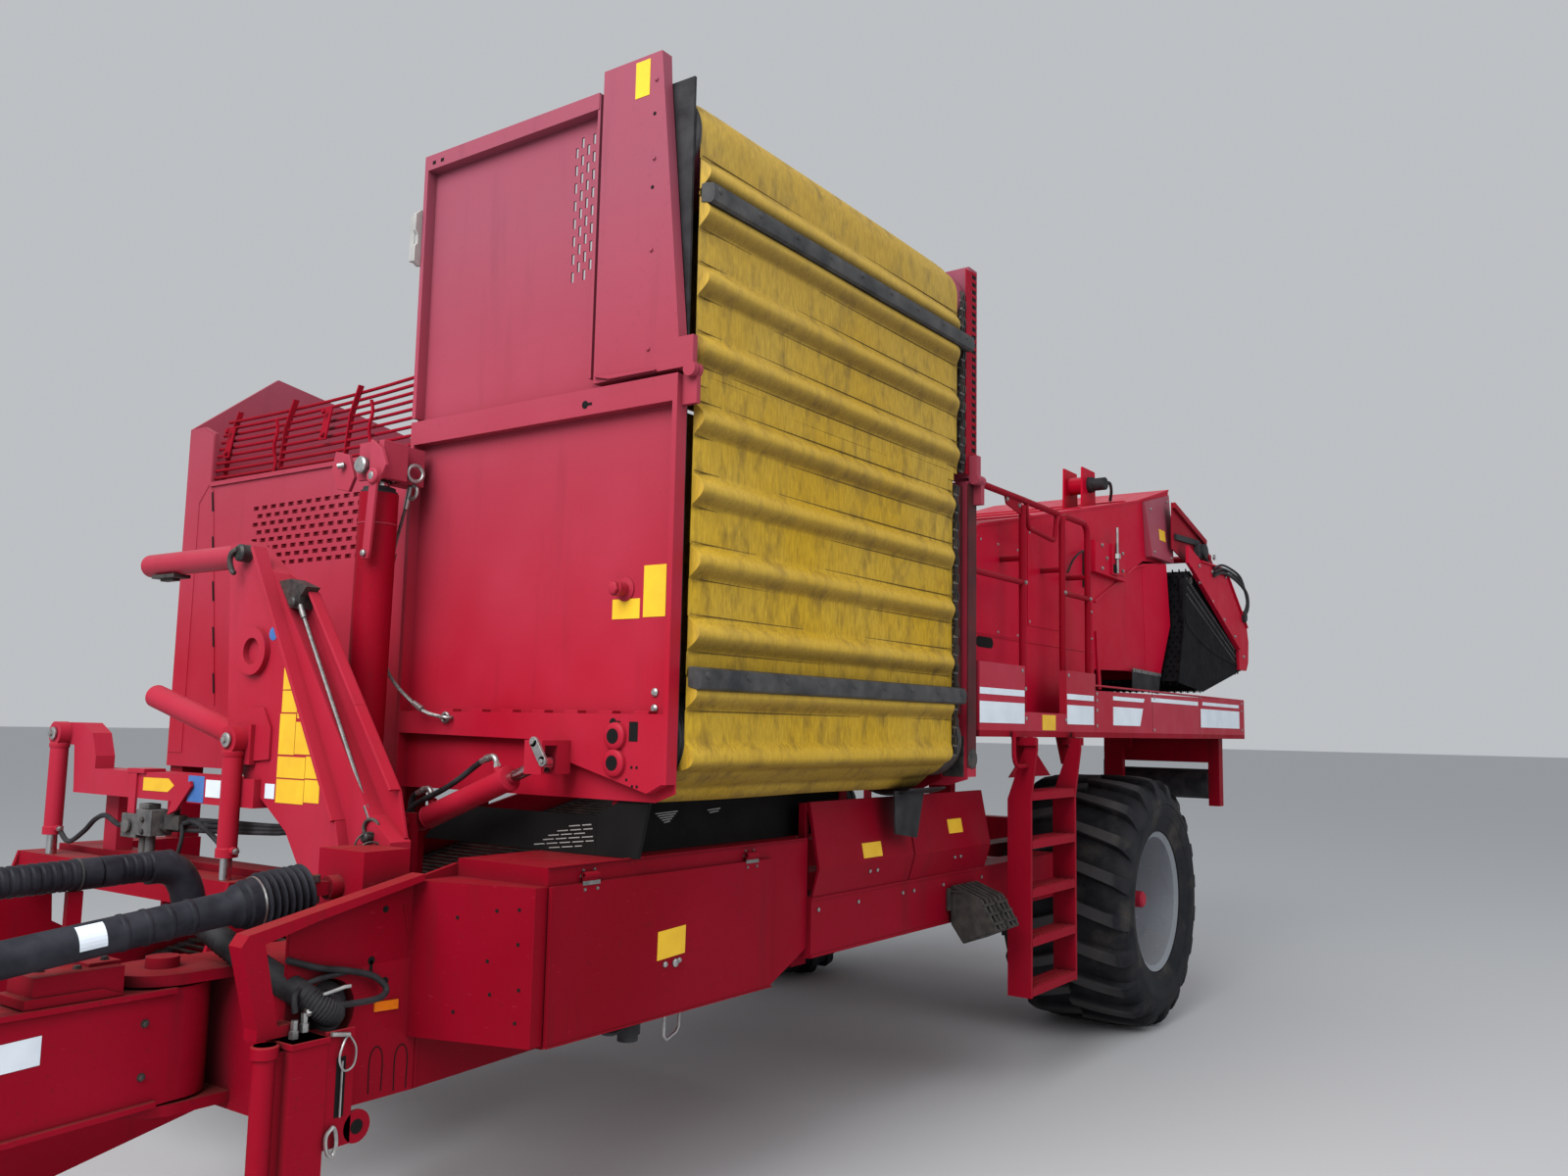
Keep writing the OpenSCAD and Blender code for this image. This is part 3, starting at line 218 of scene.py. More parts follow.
def belt_look():
    """Mustard cloth belt: fine upright grain, dirt blots, pale dust over its upper part, a paler crest on
    each rib as a painted highlight with some dust, and painted shade under each rib and in its corners.
    """
    g = Graph("belt_mustard", "yellow_belt")
    grain = g.band(g.noise(70, 5, (1.4, 1.4, 0.3)), 0.36, 0.66)
    patch = g.band(g.noise(2.2, 4), 0.35, 0.68)
    base = g.mix(patch, MUSTARD, MUSTARD_PALE)
    base = g.mix(g.math("MULTIPLY", grain, 0.3), base, BELT_DIRT_AND_SHADE)
    blot = g.band(g.noise(14, 5, (1, 1, 0.5)), 0.5, 0.72, 0, 0.6)
    base = g.mix(blot, base, BELT_DIRT_AND_SHADE)
    base = g.mix(g.band(g.axis("Z"), 2.3, 3.7, 0, 0.35), base, (0.3, 0.23, 0.11))
    # Paler towards the rib crests: a painted highlight, with some pale dust
    tip = g.band(g.axis("Y"), BELT_Y + 0.008, BELT_Y + 0.034, 0, 0.45)
    base = g.mix(tip, base, (0.56, 0.37, 0.07))
    # Darker on faces that look down, under each rib: painted shade
    base = g.mix(g.band(g.upward(), -0.15, -0.75, 0, 0.55), base, BELT_DIRT_AND_SHADE)
    # Darker in corners by ambient occlusion: painted shade
    base = g.mix(g.band(g.corners(0.12), 0.2, 0.9, 0.65, 0), base, (0.05, 0.03, 0.012))
    rough = g.band(grain, 0, 1, 0.55, 0.8)
    return g.finish(base, rough, [(grain, 0.0008, 0.5), (g.noise(6, 3), 0.008, 0.4)], specular=0.18)


def plain(
    name, slot, colour, other, roughness=0.6, metallic=0.0, scale=12.0, grain=0.002, grime_and_shade=0.5, coat=0.0,
    specular=0.22,
):
    """A finish that mottles between two colours, with painted shade and dirt in its corners."""
    g = Graph(name, slot, roughness, metallic)
    base = g.mix(g.band(g.noise(scale, 5), 0.35, 0.68), colour, other)
    # Darker in corners by ambient occlusion: painted shade, with dirt there too
    base = g.mix(g.band(g.corners(0.05), 0.2, 0.85, grime_and_shade, 0), base, GRIME_AND_SHADE)
    rough = g.band(g.noise(scale * 2, 3), 0.3, 0.7, roughness - 0.08, min(1, roughness + 0.12))
    return g.finish(base, rough, [(g.noise(scale * 6, 3), grain, 0.4)], coat=coat, specular=specular)


def tyre_look():
    """Tyre rubber with patches of dried soil, and soil on its lugs."""
    g = Graph("tyre_black", "tyre_rubber")
    mottle = g.band(g.noise(7, 6), 0.35, 0.68)
    base = g.mix(mottle, (0.01, 0.011, 0.014), (0.03, 0.03, 0.033))
    soil = g.band(g.noise(4, 6), 0.54, 0.76, 0, 0.45)
    base = g.mix(soil, base, (0.12, 0.1, 0.085))
    across = g.math("SUBTRACT", g.axis("X"), AXLE_X)
    high = g.math("SUBTRACT", g.axis("Z"), AXLE_Z)
    reach = g.math("SQRT", g.math("ADD", g.math("MULTIPLY", across, across), g.math("MULTIPLY", high, high)))
    base = g.mix(g.band(reach, 0.712, 0.735, 0, 0.55), base, (0.11, 0.105, 0.105))
    # Darker in corners by ambient occlusion: painted shade
    base = g.mix(g.band(g.corners(0.08), 0.2, 0.9, 0.85, 0), base, (0.006, 0.006, 0.006))
    return g.finish(base, g.band(mottle, 0, 1, 0.62, 0.88), [(g.noise(90, 4), 0.002, 0.5)], specular=0.12)


# The finish of each name that piece() takes
LOOKS = {}


def make_looks():
    LOOKS.update({
        "panel": paint("paint_panel", RED, RED_FADED, 0.45, 0.1, bleach=0.8, gloss=0.1),
        # Darker red for the lower boxes and covers, mostly painted shade from the dark ground below them and
        # the parts close around them
        "low": paint("paint_low_shaded", (0.215, 0.001, 0.009), (0.27, 0.003, 0.017), 0.65, 0.1),
        "frame": paint(
            "paint_frame", (0.26, 0.002, 0.012), (0.33, 0.005, 0.022), 0.95, 0.26, roughness=0.46,
        ),
        # The house's faces that look up turn a paler pink
        "house": paint(
            "paint_house", (0.5, 0.002, 0.024), (0.54, 0.006, 0.036), 0.5, 0.55, flat_tint=(0.75, 0.18, 0.22),
        ),
        # Near-black rubber, darker than the other rubber: partly painted shade for the space under the
        # separator where it is used
        "shaded_black": plain(
            "finger_black", "black_rubber", (0.005, 0.005, 0.007), (0.012, 0.012, 0.014), 0.7, specular=0.06,
        ),
        "belt": belt_look(),
        "web": plain("web_worn", "web_steel", (0.035, 0.031, 0.028), (0.11, 0.088, 0.07), 0.6, 0.35, 16),
        "rubber": plain("rubber_black", "black_rubber", (0.012, 0.012, 0.014), (0.04, 0.04, 0.044), 0.62),
        "plastic": plain(
            "guard_black", "black_plastic", (0.01, 0.011, 0.016), (0.03, 0.031, 0.04), 0.52, specular=0.15,
        ),
        "cast": plain("cast_grey", "cast_grey", (0.085, 0.085, 0.088), (0.19, 0.18, 0.17), 0.62, 0.2, 20),
        "chock": plain("chock_grey", "cast_grey", (0.03, 0.028, 0.027), (0.065, 0.058, 0.052), 0.7, 0, 22),
        "seam": plain("seam_brown", "yellow_belt", (0.09, 0.05, 0.014), (0.18, 0.105, 0.03), 0.8, 0, 18),
        "slat": plain("slat_black", "yellow_belt", (0.03, 0.031, 0.034), (0.085, 0.083, 0.082), 0.5, 0, 10),
        "post": plain("post_brown", "red_paint", (0.055, 0.009, 0.01), (0.11, 0.016, 0.02), 0.62, 0, 9),
        "rope": plain(
            "rope_steel", "dark_steel", (0.16, 0.16, 0.16), (0.3, 0.29, 0.28), 0.45, 0.7, 60, 0.0004,
        ),
        "steel": plain("steel_dark", "dark_steel", (0.05, 0.05, 0.052), (0.12, 0.105, 0.095), 0.5, 0.6, 24),
        "zinc": plain("zinc", "rod_chrome", (0.48, 0.48, 0.47), (0.3, 0.3, 0.3), 0.38, 0.85, 30, 0.0006),
        "chrome": plain(
            "chrome", "rod_chrome", (0.7, 0.7, 0.7), (0.55, 0.55, 0.56), 0.18, 1.0, 8, 0.0002, 0.2,
        ),
        "tyre": tyre_look(),
        "rim": paint("rim_silver", (0.29, 0.31, 0.345), (0.23, 0.245, 0.27), 0.55, 0.2, "rim_silver", 0.34),
        "sign": plain("sign_yellow", "red_paint", SIGN_YELLOW, (0.78, 0.45, 0.03), 0.45, 0, 6, 0.0003, 0.2),
        "white": plain("stripe_white", "red_paint", WHITE, (0.68, 0.76, 0.84), 0.42, 0, 5, 0.0003, 0.3),
        "tape": plain("tape_blue", "red_paint", TAPE_BLUE, (0.08, 0.2, 0.5), 0.5, 0, 9, 0.0003, 0.2),
        "amber": plain(
            "reflector_amber", "red_paint", (0.8, 0.2, 0.01), (0.6, 0.12, 0.01), 0.25, 0, 9, 0.0002, 0.1,
        ),
        "void": plain(
            "hole_dark", "dark_steel", (0.004, 0.004, 0.004), (0.008, 0.007, 0.007), 0.9, 0, 9, 0.0002, 0.1,
        ),
        "lamp": plain(
            "lamp_grey", "rod_chrome", (0.42, 0.42, 0.4), (0.33, 0.33, 0.32), 0.4, 0.1, 9, 0.0002, 0.3,
        ),
    })


def on(face, thick):
    """From a little inside a face to a height above it."""
    return face - SUNK, face + thick


def square_to(along):
    """A direction with two others that stand square to it."""
    along = Vector(along).normalized()
    across = along.orthogonal().normalized()
    return along, across, along.cross(across)


def circle(centre, radius, across, other, sides):
    turns = [2 * math.pi * k / sides for k in range(sides)]
    return [centre + radius * (math.cos(t) * across + math.sin(t) * other) for t in turns]


def curve(points, steps=6):
    """A smooth line through points."""
    p = [Vector(q) for q in points]
    p = [2 * p[0] - p[1], *p, 2 * p[-1] - p[-2]]
    line = []
    for i in range(1, len(p) - 2):
        for k in range(steps):
            t = k / steps
            line.append(
                0.5 * (
                    2 * p[i] + (p[i + 1] - p[i - 1]) * t
                    + (2 * p[i - 1] - 5 * p[i] + 4 * p[i + 1] - p[i + 2]) * t * t
                    + (3 * p[i] - p[i - 1] - 3 * p[i + 1] + p[i + 2]) * t ** 3
                ),
            )
    return [*line, p[-2]]


class Shape:
    """The faces of one piece, gathered from plates, tubes and turned parts in the axle's axes."""

    def __init__(self):
        self.points, self.faces = [], []

    def add(self, points, faces):
        start = len(self.points)
        self.points += [Vector(p) for p in points]
        self.faces += [[start + i for i in face] for face in faces]

    def plate(self, outline, along, start, end):
        """An outline in the two axes other than along, made solid from start to end."""
        place = {
            "x": lambda a, b, c: (c, a, b), "y": lambda a, b, c: (a, c, b), "z": lambda a, b, c: (a, b, c),
        }[along]
        n = len(outline)
        points = [place(a, b, c) for c in (start, end) for a, b in outline]
        sides = [[i, (i + 1) % n, n + (i + 1) % n, n + i] for i in range(n)]
        self.add(points, [list(range(n)), list(range(2 * n - 1, n - 1, -1)), *sides])

    def beam(self, start, end, wide, high, up=UP):
        """A rectangular bar between two points, its height towards up."""
        start, end = Vector(start), Vector(end)
        along = (end - start).normalized()
        side = along.cross(Vector(up)).normalized() * wide / 2
        top = side.cross(along).normalized() * high / 2
        corners = [side + top, top - side, -side - top, side - top]
        self.rings([[p + c for c in corners] for p in (start, end)])

    def strip(self, a, b, wide, along, start, end):
        """A flat bar along a line in the two axes other than along."""
        dx, dy = b[0] - a[0], b[1] - a[1]
        size = math.hypot(dx, dy)
        nx, ny = -dy / size * wide / 2, dx / size * wide / 2
        outline = [
            (a[0] + nx, a[1] + ny), (b[0] + nx, b[1] + ny), (b[0] - nx, b[1] - ny), (a[0] - nx, a[1] - ny),
        ]
        self.plate(outline, along, start, end)

    def slab(self, corners, thick):
        """A thin plate on a slanted face, from its corners out along their normal."""
        corners = [Vector(c) for c in corners]
        out = (corners[1] - corners[0]).cross(corners[2] - corners[0]).normalized() * thick
        self.rings([[c - out * 0.3 for c in corners], [c + out for c in corners]])

    def block(self, x, y, z):
        self.plate([(x[0], y[0]), (x[1], y[0]), (x[1], y[1]), (x[0], y[1])], "z", z[0], z[1])

    def rings(self, rings, loop=False):
        """Skin over rings of points, all with the same count, closed at its ends or into a loop."""
        n, m = len(rings[0]), len(rings)
        faces = []
        for i in range(m if loop else m - 1):
            a, b = i * n, (i + 1) % m * n
            faces += [[a + j, a + (j + 1) % n, b + (j + 1) % n, b + j] for j in range(n)]
        if not loop:
            faces += [list(range(n)), [(m - 1) * n + j for j in range(n)]]
        self.add([p for ring in rings for p in ring], faces)

    def tube(self, path, radius, sides=10, loop=False):
        """A round tube along points. radius is a number or one number for each point."""
        path = [Vector(p) for p in path]
        n = len(path)
        across = None
        rings = []
        for i, p in enumerate(path):
            before = path[(i - 1) % n if loop else max(i - 1, 0)]
            after = path[(i + 1) % n if loop else min(i + 1, n - 1)]
            along = (after - before).normalized()
            if across is None:
                across = along.orthogonal().normalized()
            across = (across - across.dot(along) * along).normalized()
            r = radius[i] if isinstance(radius, (list, tuple)) else radius
            rings.append(circle(p, r, across, along.cross(across), sides))
        self.rings(rings, loop=loop)

    def hose(self, points, radius, sides=8, steps=5):
        """A round tube along a smooth line through points."""
        self.tube(curve(points, steps), radius, sides)

    def turned(self, start, along, profile, sides=24):
        """A turned part: profile lists its distance along the axis and its radius."""
        along, across, other = square_to(along)
        self.rings([circle(Vector(start) + d * along, r, across, other, sides) for d, r in profile])

    def disc(self, start, along, radius, depth, sides=24):
        self.turned(start, along, [(0, radius), (depth, radius)], sides)

    def roller(self, x, y, z, length, radius, neck):
        """A roller across the machine, on two shaft ends as long as its neck."""
        shaft = 0.025
        self.turned(
            (x, y, z), LEFT,
            [
                (0, shaft), (neck, shaft), (neck, radius), (length - neck, radius), (length - neck, shaft),
                (length, shaft),
            ],
            20,
        )

    def bolt(self, start, along, size=0.012):
        """A hexagon head on its washer."""
        self.turned(start, along, [(-0.002, size * 1.25), (size * 0.2, size * 1.25)], 12)
        self.turned(start, along, [(size * 0.2, size), (size * 0.8, size), (size * 0.9, size * 0.8)], 6)

    def ring(self, centre, along, radius, thick, sides=24, fine=8):
        across, other = square_to(along)[1:]
        self.tube(circle(Vector(centre), radius, across, other, sides), thick, fine, loop=True)

    def cloth(self, sections):
        """A cloth of two layers through sections, each an outer and an inner line of points."""
        n, last = len(sections[0][0]), len(sections) - 1
        faces = []
        for k in range(last):
            a, b = 2 * n * k, 2 * n * (k + 1)
            for i in range(n - 1):
                faces.append([a + i, a + i + 1, b + i + 1, b + i])
                faces.append([a + n + i, b + n + i, b + n + i + 1, a + n + i + 1])
            for i in (0, n - 1):
                faces.append([a + i, b + i, b + n + i, a + n + i])
        for a in (0, 2 * n * last):
            faces += [[a + i, a + i + 1, a + n + i + 1, a + n + i] for i in range(n - 1)]
        self.add([p for outer, inner in sections for p in outer + inner], faces)

    def band(self, outer, inner, start, end):
        """A closed band between two loops in x and z, from one y to another."""
        n = len(outer)
        points = [(x, y, z) for y in (start, end) for ring in (outer, inner) for x, z in ring]
        faces = []
        for i in range(n):
            j = (i + 1) % n
            faces += [[i, j, 2 * n + j, 2 * n + i], [n + i, 3 * n + i, 3 * n + j, n + j]]
            faces += [[i, n + i, n + j, j], [2 * n + i, 2 * n + j, 3 * n + j, 3 * n + i]]
        self.add(points, faces)


def piece(name, shape, body, look, bevel=0.0, replaces=(), angle=38):
    """Makes a shape an object that rides on a body, or on none where it bends between two."""
    mesh = bpy.data.meshes.new(name)
    mesh.from_pydata([p + Vector((AXLE_X, 0, 0)) for p in shape.points], [], shape.faces)
    work = bmesh.new()
    work.from_mesh(mesh)
    bmesh.ops.recalc_face_normals(work, faces=work.faces)
    for face in work.faces:
        face.smooth = True
    for edge in work.edges:
        if edge.is_manifold and edge.calc_face_angle(0) > math.radians(angle):
            edge.smooth = False
    work.to_mesh(mesh)
    work.free()
    made = bpy.data.objects.new(name, mesh)
    bpy.context.scene.collection.objects.link(made)
    mesh.materials.append(LOOKS[look].material)
    if bevel:
        soften(made, bevel)
    if body:
        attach(made, body)
    if replaces:
        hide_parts(*replaces)
    return made


def soften(obj, width):
    bevel = obj.modifiers.new("edges", "BEVEL")
    bevel.width, bevel.segments = width, 2
    bevel.limit_method, bevel.angle_limit = "ANGLE", math.radians(40)
    bevel.harden_normals = True


# The finishes of the CAD nodes
NODE_LOOKS = {
    "panel": ["gantry", "lower_walls", "upper_walls", "side_panel", "hopper", "tilt_barrel", "steer_barrel"],
    "low": ["storage_box", "box_door", "side_covers", "side_frame"],
    "frame": [
        "main_frame", "portal_frame", "axle_beam", "side_guard", "jack_tube", "jack_leg", "web_channel",
        "platform", "drawbar_beam", "intake_frame", "ladder", "hopper_cage", "railings", "fold_barrel",
        "gearbox",
    ],
    "house": ["picking_house", "trash_chute", "separator_frame"], "belt": ["lower_belt", "upper_belt"],
    "web": ["main_web", "rear_web", "intake_rollers"], "rubber": ["finger_belt", "rear_roller"],
    "plastic": ["hose_conduit", "pto_shaft"], "cast": ["wheel_chocks"],
    "steel": ["hitch_eye", "belt_roller", "wall_rope"],
    "chrome": ["fold_rod", "tilt_rod", "intake_rods", "steer_rod"], "tyre": ["tyre_left", "tyre_right"],
    "rim": ["rim_left", "rim_right"],
}


def dress_nodes():
    for look, names in NODE_LOOKS.items():
        for name in names:
            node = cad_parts[name]
            node.data.materials.clear()
            node.data.materials.append(LOOKS[look].material)


# Lights, floor and backdrop
def make_light(name, place, target, size, power):
    data = bpy.data.lights.new(name, "AREA")
    data.shape, data.size, data.energy = "DISK", size, power
    lamp = bpy.data.objects.new(name, data)
    lamp.location = at(*place)
    lamp.rotation_mode = "QUATERNION"
    lamp.rotation_quaternion = (at(*target) - at(*place)).to_track_quat("-Z", "Y")
    bpy.context.scene.collection.objects.link(lamp)


def make_stage():
    world = bpy.data.worlds.new("studio")
    bpy.context.scene.world = world
    world.use_nodes = True
    tree = world.node_tree
    soft = tree.nodes["Background"]
    soft.inputs["Color"].default_value = (0.93, 0.96, 1.0, 1)
    soft.inputs["Strength"].default_value = 0.55
    make_light("key", (11.0, 1.5, 8.0), (3.0, 0.2, 2.0), 8.0, 1050)
    make_light("fill", (3.0, 10.0, 8.0), (2.0, 0.5, 2.0), 9.0, 300)
    floor = bpy.data.meshes.new("floor")
    far = 150
    floor.from_pydata([(-far, -far, 0), (far, -far, 0), (far, far, 0), (-far, far, 0)], [], [[0, 1, 2, 3]])
    ground = bpy.data.objects.new("floor", floor)
    bpy.context.scene.collection.objects.link(ground)
    pale = bpy.data.materials.new("floor_pale")
    pale.use_nodes = True
    pale.node_tree.nodes["Principled BSDF"].inputs["Base Color"].default_value = (0.54, 0.55, 0.56, 1)
    pale.node_tree.nodes["Principled BSDF"].inputs["Roughness"].default_value = 0.9
    floor.materials.append(pale)
    bpy.context.scene.view_settings.view_transform = "Standard"


# Discharge wall: the front faces of its frame and of its sheets
WALL_FRONT = 4.5
PANEL_FRONT = 4.456


def wall_details():
    """Signs, trim, holes and studs on the wall's front."""
    signs = Shape()
    for y, z in [((1.34, 1.435), (2.075, 2.245)), ((1.205, 1.325), (2.072, 2.138))]:
        signs.block(on(PANEL_FRONT, 0.0015), y, z)
    piece("wall_signs", signs, "discharge_wall", "sign")
    trim = Shape()
    for i in range(7):
        trim.block(
            (PANEL_FRONT - 0.002, WALL_FRONT - 0.004), (0.42 + 0.155 * i, 0.48 + 0.155 * i), (1.758, 1.77),
        )
    for z in (1.688, 1.602):
        trim.turned((WALL_FRONT - 0.002, 1.28, z), FORWARD, [
            (0, 0.046), (0.014, 0.044), (0.02, 0.036), (0.02, 0.024),
        ])
    trim.turned((PANEL_FRONT - 0.001, 1.259, 2.17), FORWARD, [
        (0, 0.04), (0.006, 0.04), (0.01, 0.024), (0.05, 0.022),
    ])
    trim.bolt((PANEL_FRONT + 0.048, 1.259, 2.17), FORWARD, 0.022)
    piece("wall_trim", trim, "discharge_wall", "panel", 0.001)
    holes = Shape()
    front = WALL_FRONT + 0.0008
    for z in (1.688, 1.602):
        holes.disc((front + 0.0165, 1.28, z), FORWARD, 0.0245, 0.0022)
    holes.block((WALL_FRONT - 0.002, front), (1.335, 1.372), (1.672, 1.735))
    for y, z in [(1.264, 1.732), (1.086, 2.809)]:
        holes.disc((WALL_FRONT - 0.002, y, z), FORWARD, 0.014, 0.003)
        holes.block((WALL_FRONT - 0.002, front), (y, y + 0.032), (z - 0.005, z + 0.005))
    for y, z in [(1.35, 1.59), (1.372, 1.59), (1.355, 1.53), (1.375, 1.53), (1.33, 1.55)]:
        holes.disc((WALL_FRONT - 0.002, y, z), FORWARD, 0.005, 0.003, 8)
    piece("wall_holes", holes, "discharge_wall", "void")
    studs = Shape()
    for z in (1.83, 1.778):
        studs.turned(
            (PANEL_FRONT - 0.001, 1.402, z), FORWARD, [(0, 0.014), (0.006, 0.014), (0.011, 0.008)], 12,
        )
    piece("wall_studs", studs, "discharge_wall", "zinc")


# The belt, its ribs as in the frame, its slats and the chain at its rear edge
BELT_Y = 1.515
BELT_FRONT = 4.424
BELT_REAR = {"discharge_wall": 2.58, "discharge_head": 2.54}
CHAIN_X = {"discharge_wall": 2.574, "discharge_head": 2.512}
SLAT_REAR = {"discharge_wall": 2.562, "discharge_head": 2.49}
RIB_OUT = 0.035
SLAT_Z = (1.88, 3.49)
RIB_Z = [
    SLAT_Z[0] - 0.258, SLAT_Z[0] - 0.05, SLAT_Z[1] + 0.07, *[SLAT_Z[1] - 0.06 - 0.235 * i for i in range(7)]
]
KINK_Z = 2.87


def belt_details():
    """The slat of each belt half with its rivets, and the seams beside the ribs."""
    for body, z, name in [
        ("discharge_wall", SLAT_Z[0], "slat_low"), ("discharge_head", SLAT_Z[1], "slat_high"),
    ]:
        slat = Shape()
        outline = [
            (-0.002, -0.03), (RIB_OUT + 0.004, -0.041), (RIB_OUT + 0.016, -0.034), (RIB_OUT + 0.02, 0.0),
            (RIB_OUT + 0.013, 0.027), (0.016, 0.034), (-0.002, 0.032),
        ]
        slat.plate([(BELT_Y + a, z + b) for a, b in outline], "x", SLAT_REAR[body], BELT_FRONT + 0.004)
        piece(name, slat, body, "slat", 0.002)
        heads = Shape()
        for i in range(9):
            x = BELT_REAR[body] + 0.03 + i * (BELT_FRONT - BELT_REAR[body] - 0.06) / 8
            heads.turned(
                (x, BELT_Y + RIB_OUT + 0.0165, z + 0.006), (0, 1, 0.1),
                [(0, 0.013), (0.005, 0.011), (0.007, 0.005)], 12,
            )
        piece(name + "_rivets", heads, body, "slat")
    for body, name, low in [("discharge_wall", "seams_low", True), ("discharge_head", "seams_high", False)]:
        seams = Shape()
        for z in RIB_Z:
            if z > SLAT_Z[0] - 0.3 and (z < KINK_Z) == low:
                for edge in (0.062, -0.058):
                    if z + edge > 1.69:
                        seams.block(
                            (BELT_REAR[body], BELT_FRONT), (BELT_Y - 0.005, BELT_Y - 0.0016),
                            (z + edge - 0.001, z + edge + 0.001),
                        )
        piece(name, seams, body, "seam")


def chain(body, name, low, high):
    """Roller chain in the gap between the belt and its rear post."""
    links, pins = Shape(), Shape()
    pitch = 0.04
    x = [CHAIN_X[body] - d for d in (0.028, 0.022, 0.01, 0.004)]
    for i in range(int((high - low) / pitch)):
        z = low + pitch * (i + 0.5)
        y = BELT_Y - 0.012 + (0.006 if i % 2 else 0)
        link = [
            (y - 0.011, z - 0.024), (y + 0.004, z - 0.026), (y + 0.012, z - 0.014), (y + 0.012, z + 0.014),
            (y + 0.004, z + 0.026), (y - 0.011, z + 0.024),
        ]
        for a, b in ((x[0], x[1]), (x[2], x[3])):
            links.plate(link, "x", a, b)
        pins.disc((x[0] - 0.004, y, z - pitch / 2), FORWARD, 0.0065, 0.032, 8)
    piece(name + "_links", links, body, "steel")
    piece(name + "_pins", pins, body, "zinc")
    guide = Shape()
    guide.block((x[0] - 0.006, BELT_REAR[body] - 0.002), (BELT_Y - 0.115, BELT_Y - 0.035), (low, high))
    piece(name + "_guide", guide, body, "rubber")


# Outer strips of the rear post
STRIP_X = (2.36, 2.44)
SLOTS, SLOT_PITCH = 27, 0.036


def rear_strips():
    """Edge strips, slots and foot of the wall's rear post, and its chains."""
    slots = Shape()
    for i in range(SLOTS):
        z = 2.905 + SLOT_PITCH * i
        x, y = (STRIP_X[0] + 0.012, STRIP_X[0] + 0.052), (BELT_Y - 0.003, BELT_Y + 0.0008)
        slots.block(x, y, (z - 0.009, z + 0.009))
    piece("strip_slots", slots, "discharge_head", "void")
    low, head = Shape(), Shape()
    skin = (BELT_Y - 0.004, BELT_Y + 0.002)
    low.block((STRIP_X[0] + 0.003, STRIP_X[1] + 0.007), skin, (1.56, 2.85))
    low.block((STRIP_X[1] + 0.004, 2.54), (BELT_Y - 0.06, BELT_Y - 0.03), (1.8, 2.84))
    head.block((STRIP_X[1] - 0.022, STRIP_X[1] + 0.034), skin, (2.89, 3.86))
    for i in range(SLOTS):
        z = (2.9145 + SLOT_PITCH * i, 2.9315 + SLOT_PITCH * i)
        head.block((STRIP_X[0] + 0.006, STRIP_X[1] - 0.022), skin, z)
    piece("post_edge_low", low, "discharge_wall", "post", 0.001)
    piece("post_edge_high", head, "discharge_head", "frame", 0.001)
    foot = Shape()
    foot.block((STRIP_X[0] + 0.002, STRIP_X[1] + 0.008), (BELT_Y - 0.15, BELT_Y - 0.018), (1.52, 1.7))
    foot.turned((2.4, BELT_Y - 0.02, 1.6), LEFT, [(0, 0.045), (0.024, 0.045), (0.03, 0.03)], 20)
    for z in (1.54, 1.66):
        foot.bolt((2.395, BELT_Y - 0.018, z), LEFT, 0.012)
    piece("post_foot", foot, "discharge_wall", "steel", 0.002)
    chain("discharge_wall", "chain_low", 1.62, 2.85)
    chain("discharge_head", "chain_high", 2.9, 3.76)


def head_details():
    """Lamp module, top bar slots and the plates of the wall's upper half."""
    signs = Shape()
    signs.block(on(WALL_FRONT, 0.0015), (1.27, 1.334), (3.855, 3.985))
    piece("head_sign", signs, "discharge_head", "sign")
    trim = Shape()
    trim.plate([
        (1.13, 2.898), (1.405, 2.884), (1.405, 2.88), (1.2, 2.88),
    ], "x", WALL_FRONT - 0.002, WALL_FRONT + 0.012)
    trim.block((4.452, WALL_FRONT - 0.003), (1.092, 1.104), (2.9, 3.925))
    for z in (2.96, 3.3, 3.62, 3.9):
        trim.bolt((WALL_FRONT, 1.365, z), FORWARD, 0.007)
    piece("head_trim", trim, "discharge_head", "panel", 0.001)
    holes = Shape()
    for y in (0.215, 0.262):
        holes.block((WALL_FRONT - 0.002, WALL_FRONT + 0.0008), (y, y + 0.018), (3.888, 3.902))
    for z in (3.78, 3.52):
        holes.disc((WALL_FRONT - 0.002, 1.36, z), FORWARD, 0.007, 0.0028, 10)
    piece("head_holes", holes, "discharge_head", "void")
    lamp = Shape()
    lamp.plate([
        (4.505, 3.485), (4.53, 3.5), (4.53, 3.56), (4.518, 3.575), (4.518, 3.61), (4.53, 3.625),
        (4.53, 3.69), (4.505, 3.715), (4.455, 3.7), (4.455, 3.5),
    ], "y", 0.15, 0.169)
    lamp.block((4.465, 4.522), (0.126, 0.151), (3.505, 3.69))
    piece("head_lamp", lamp, "discharge_head", "lamp", 0.003)


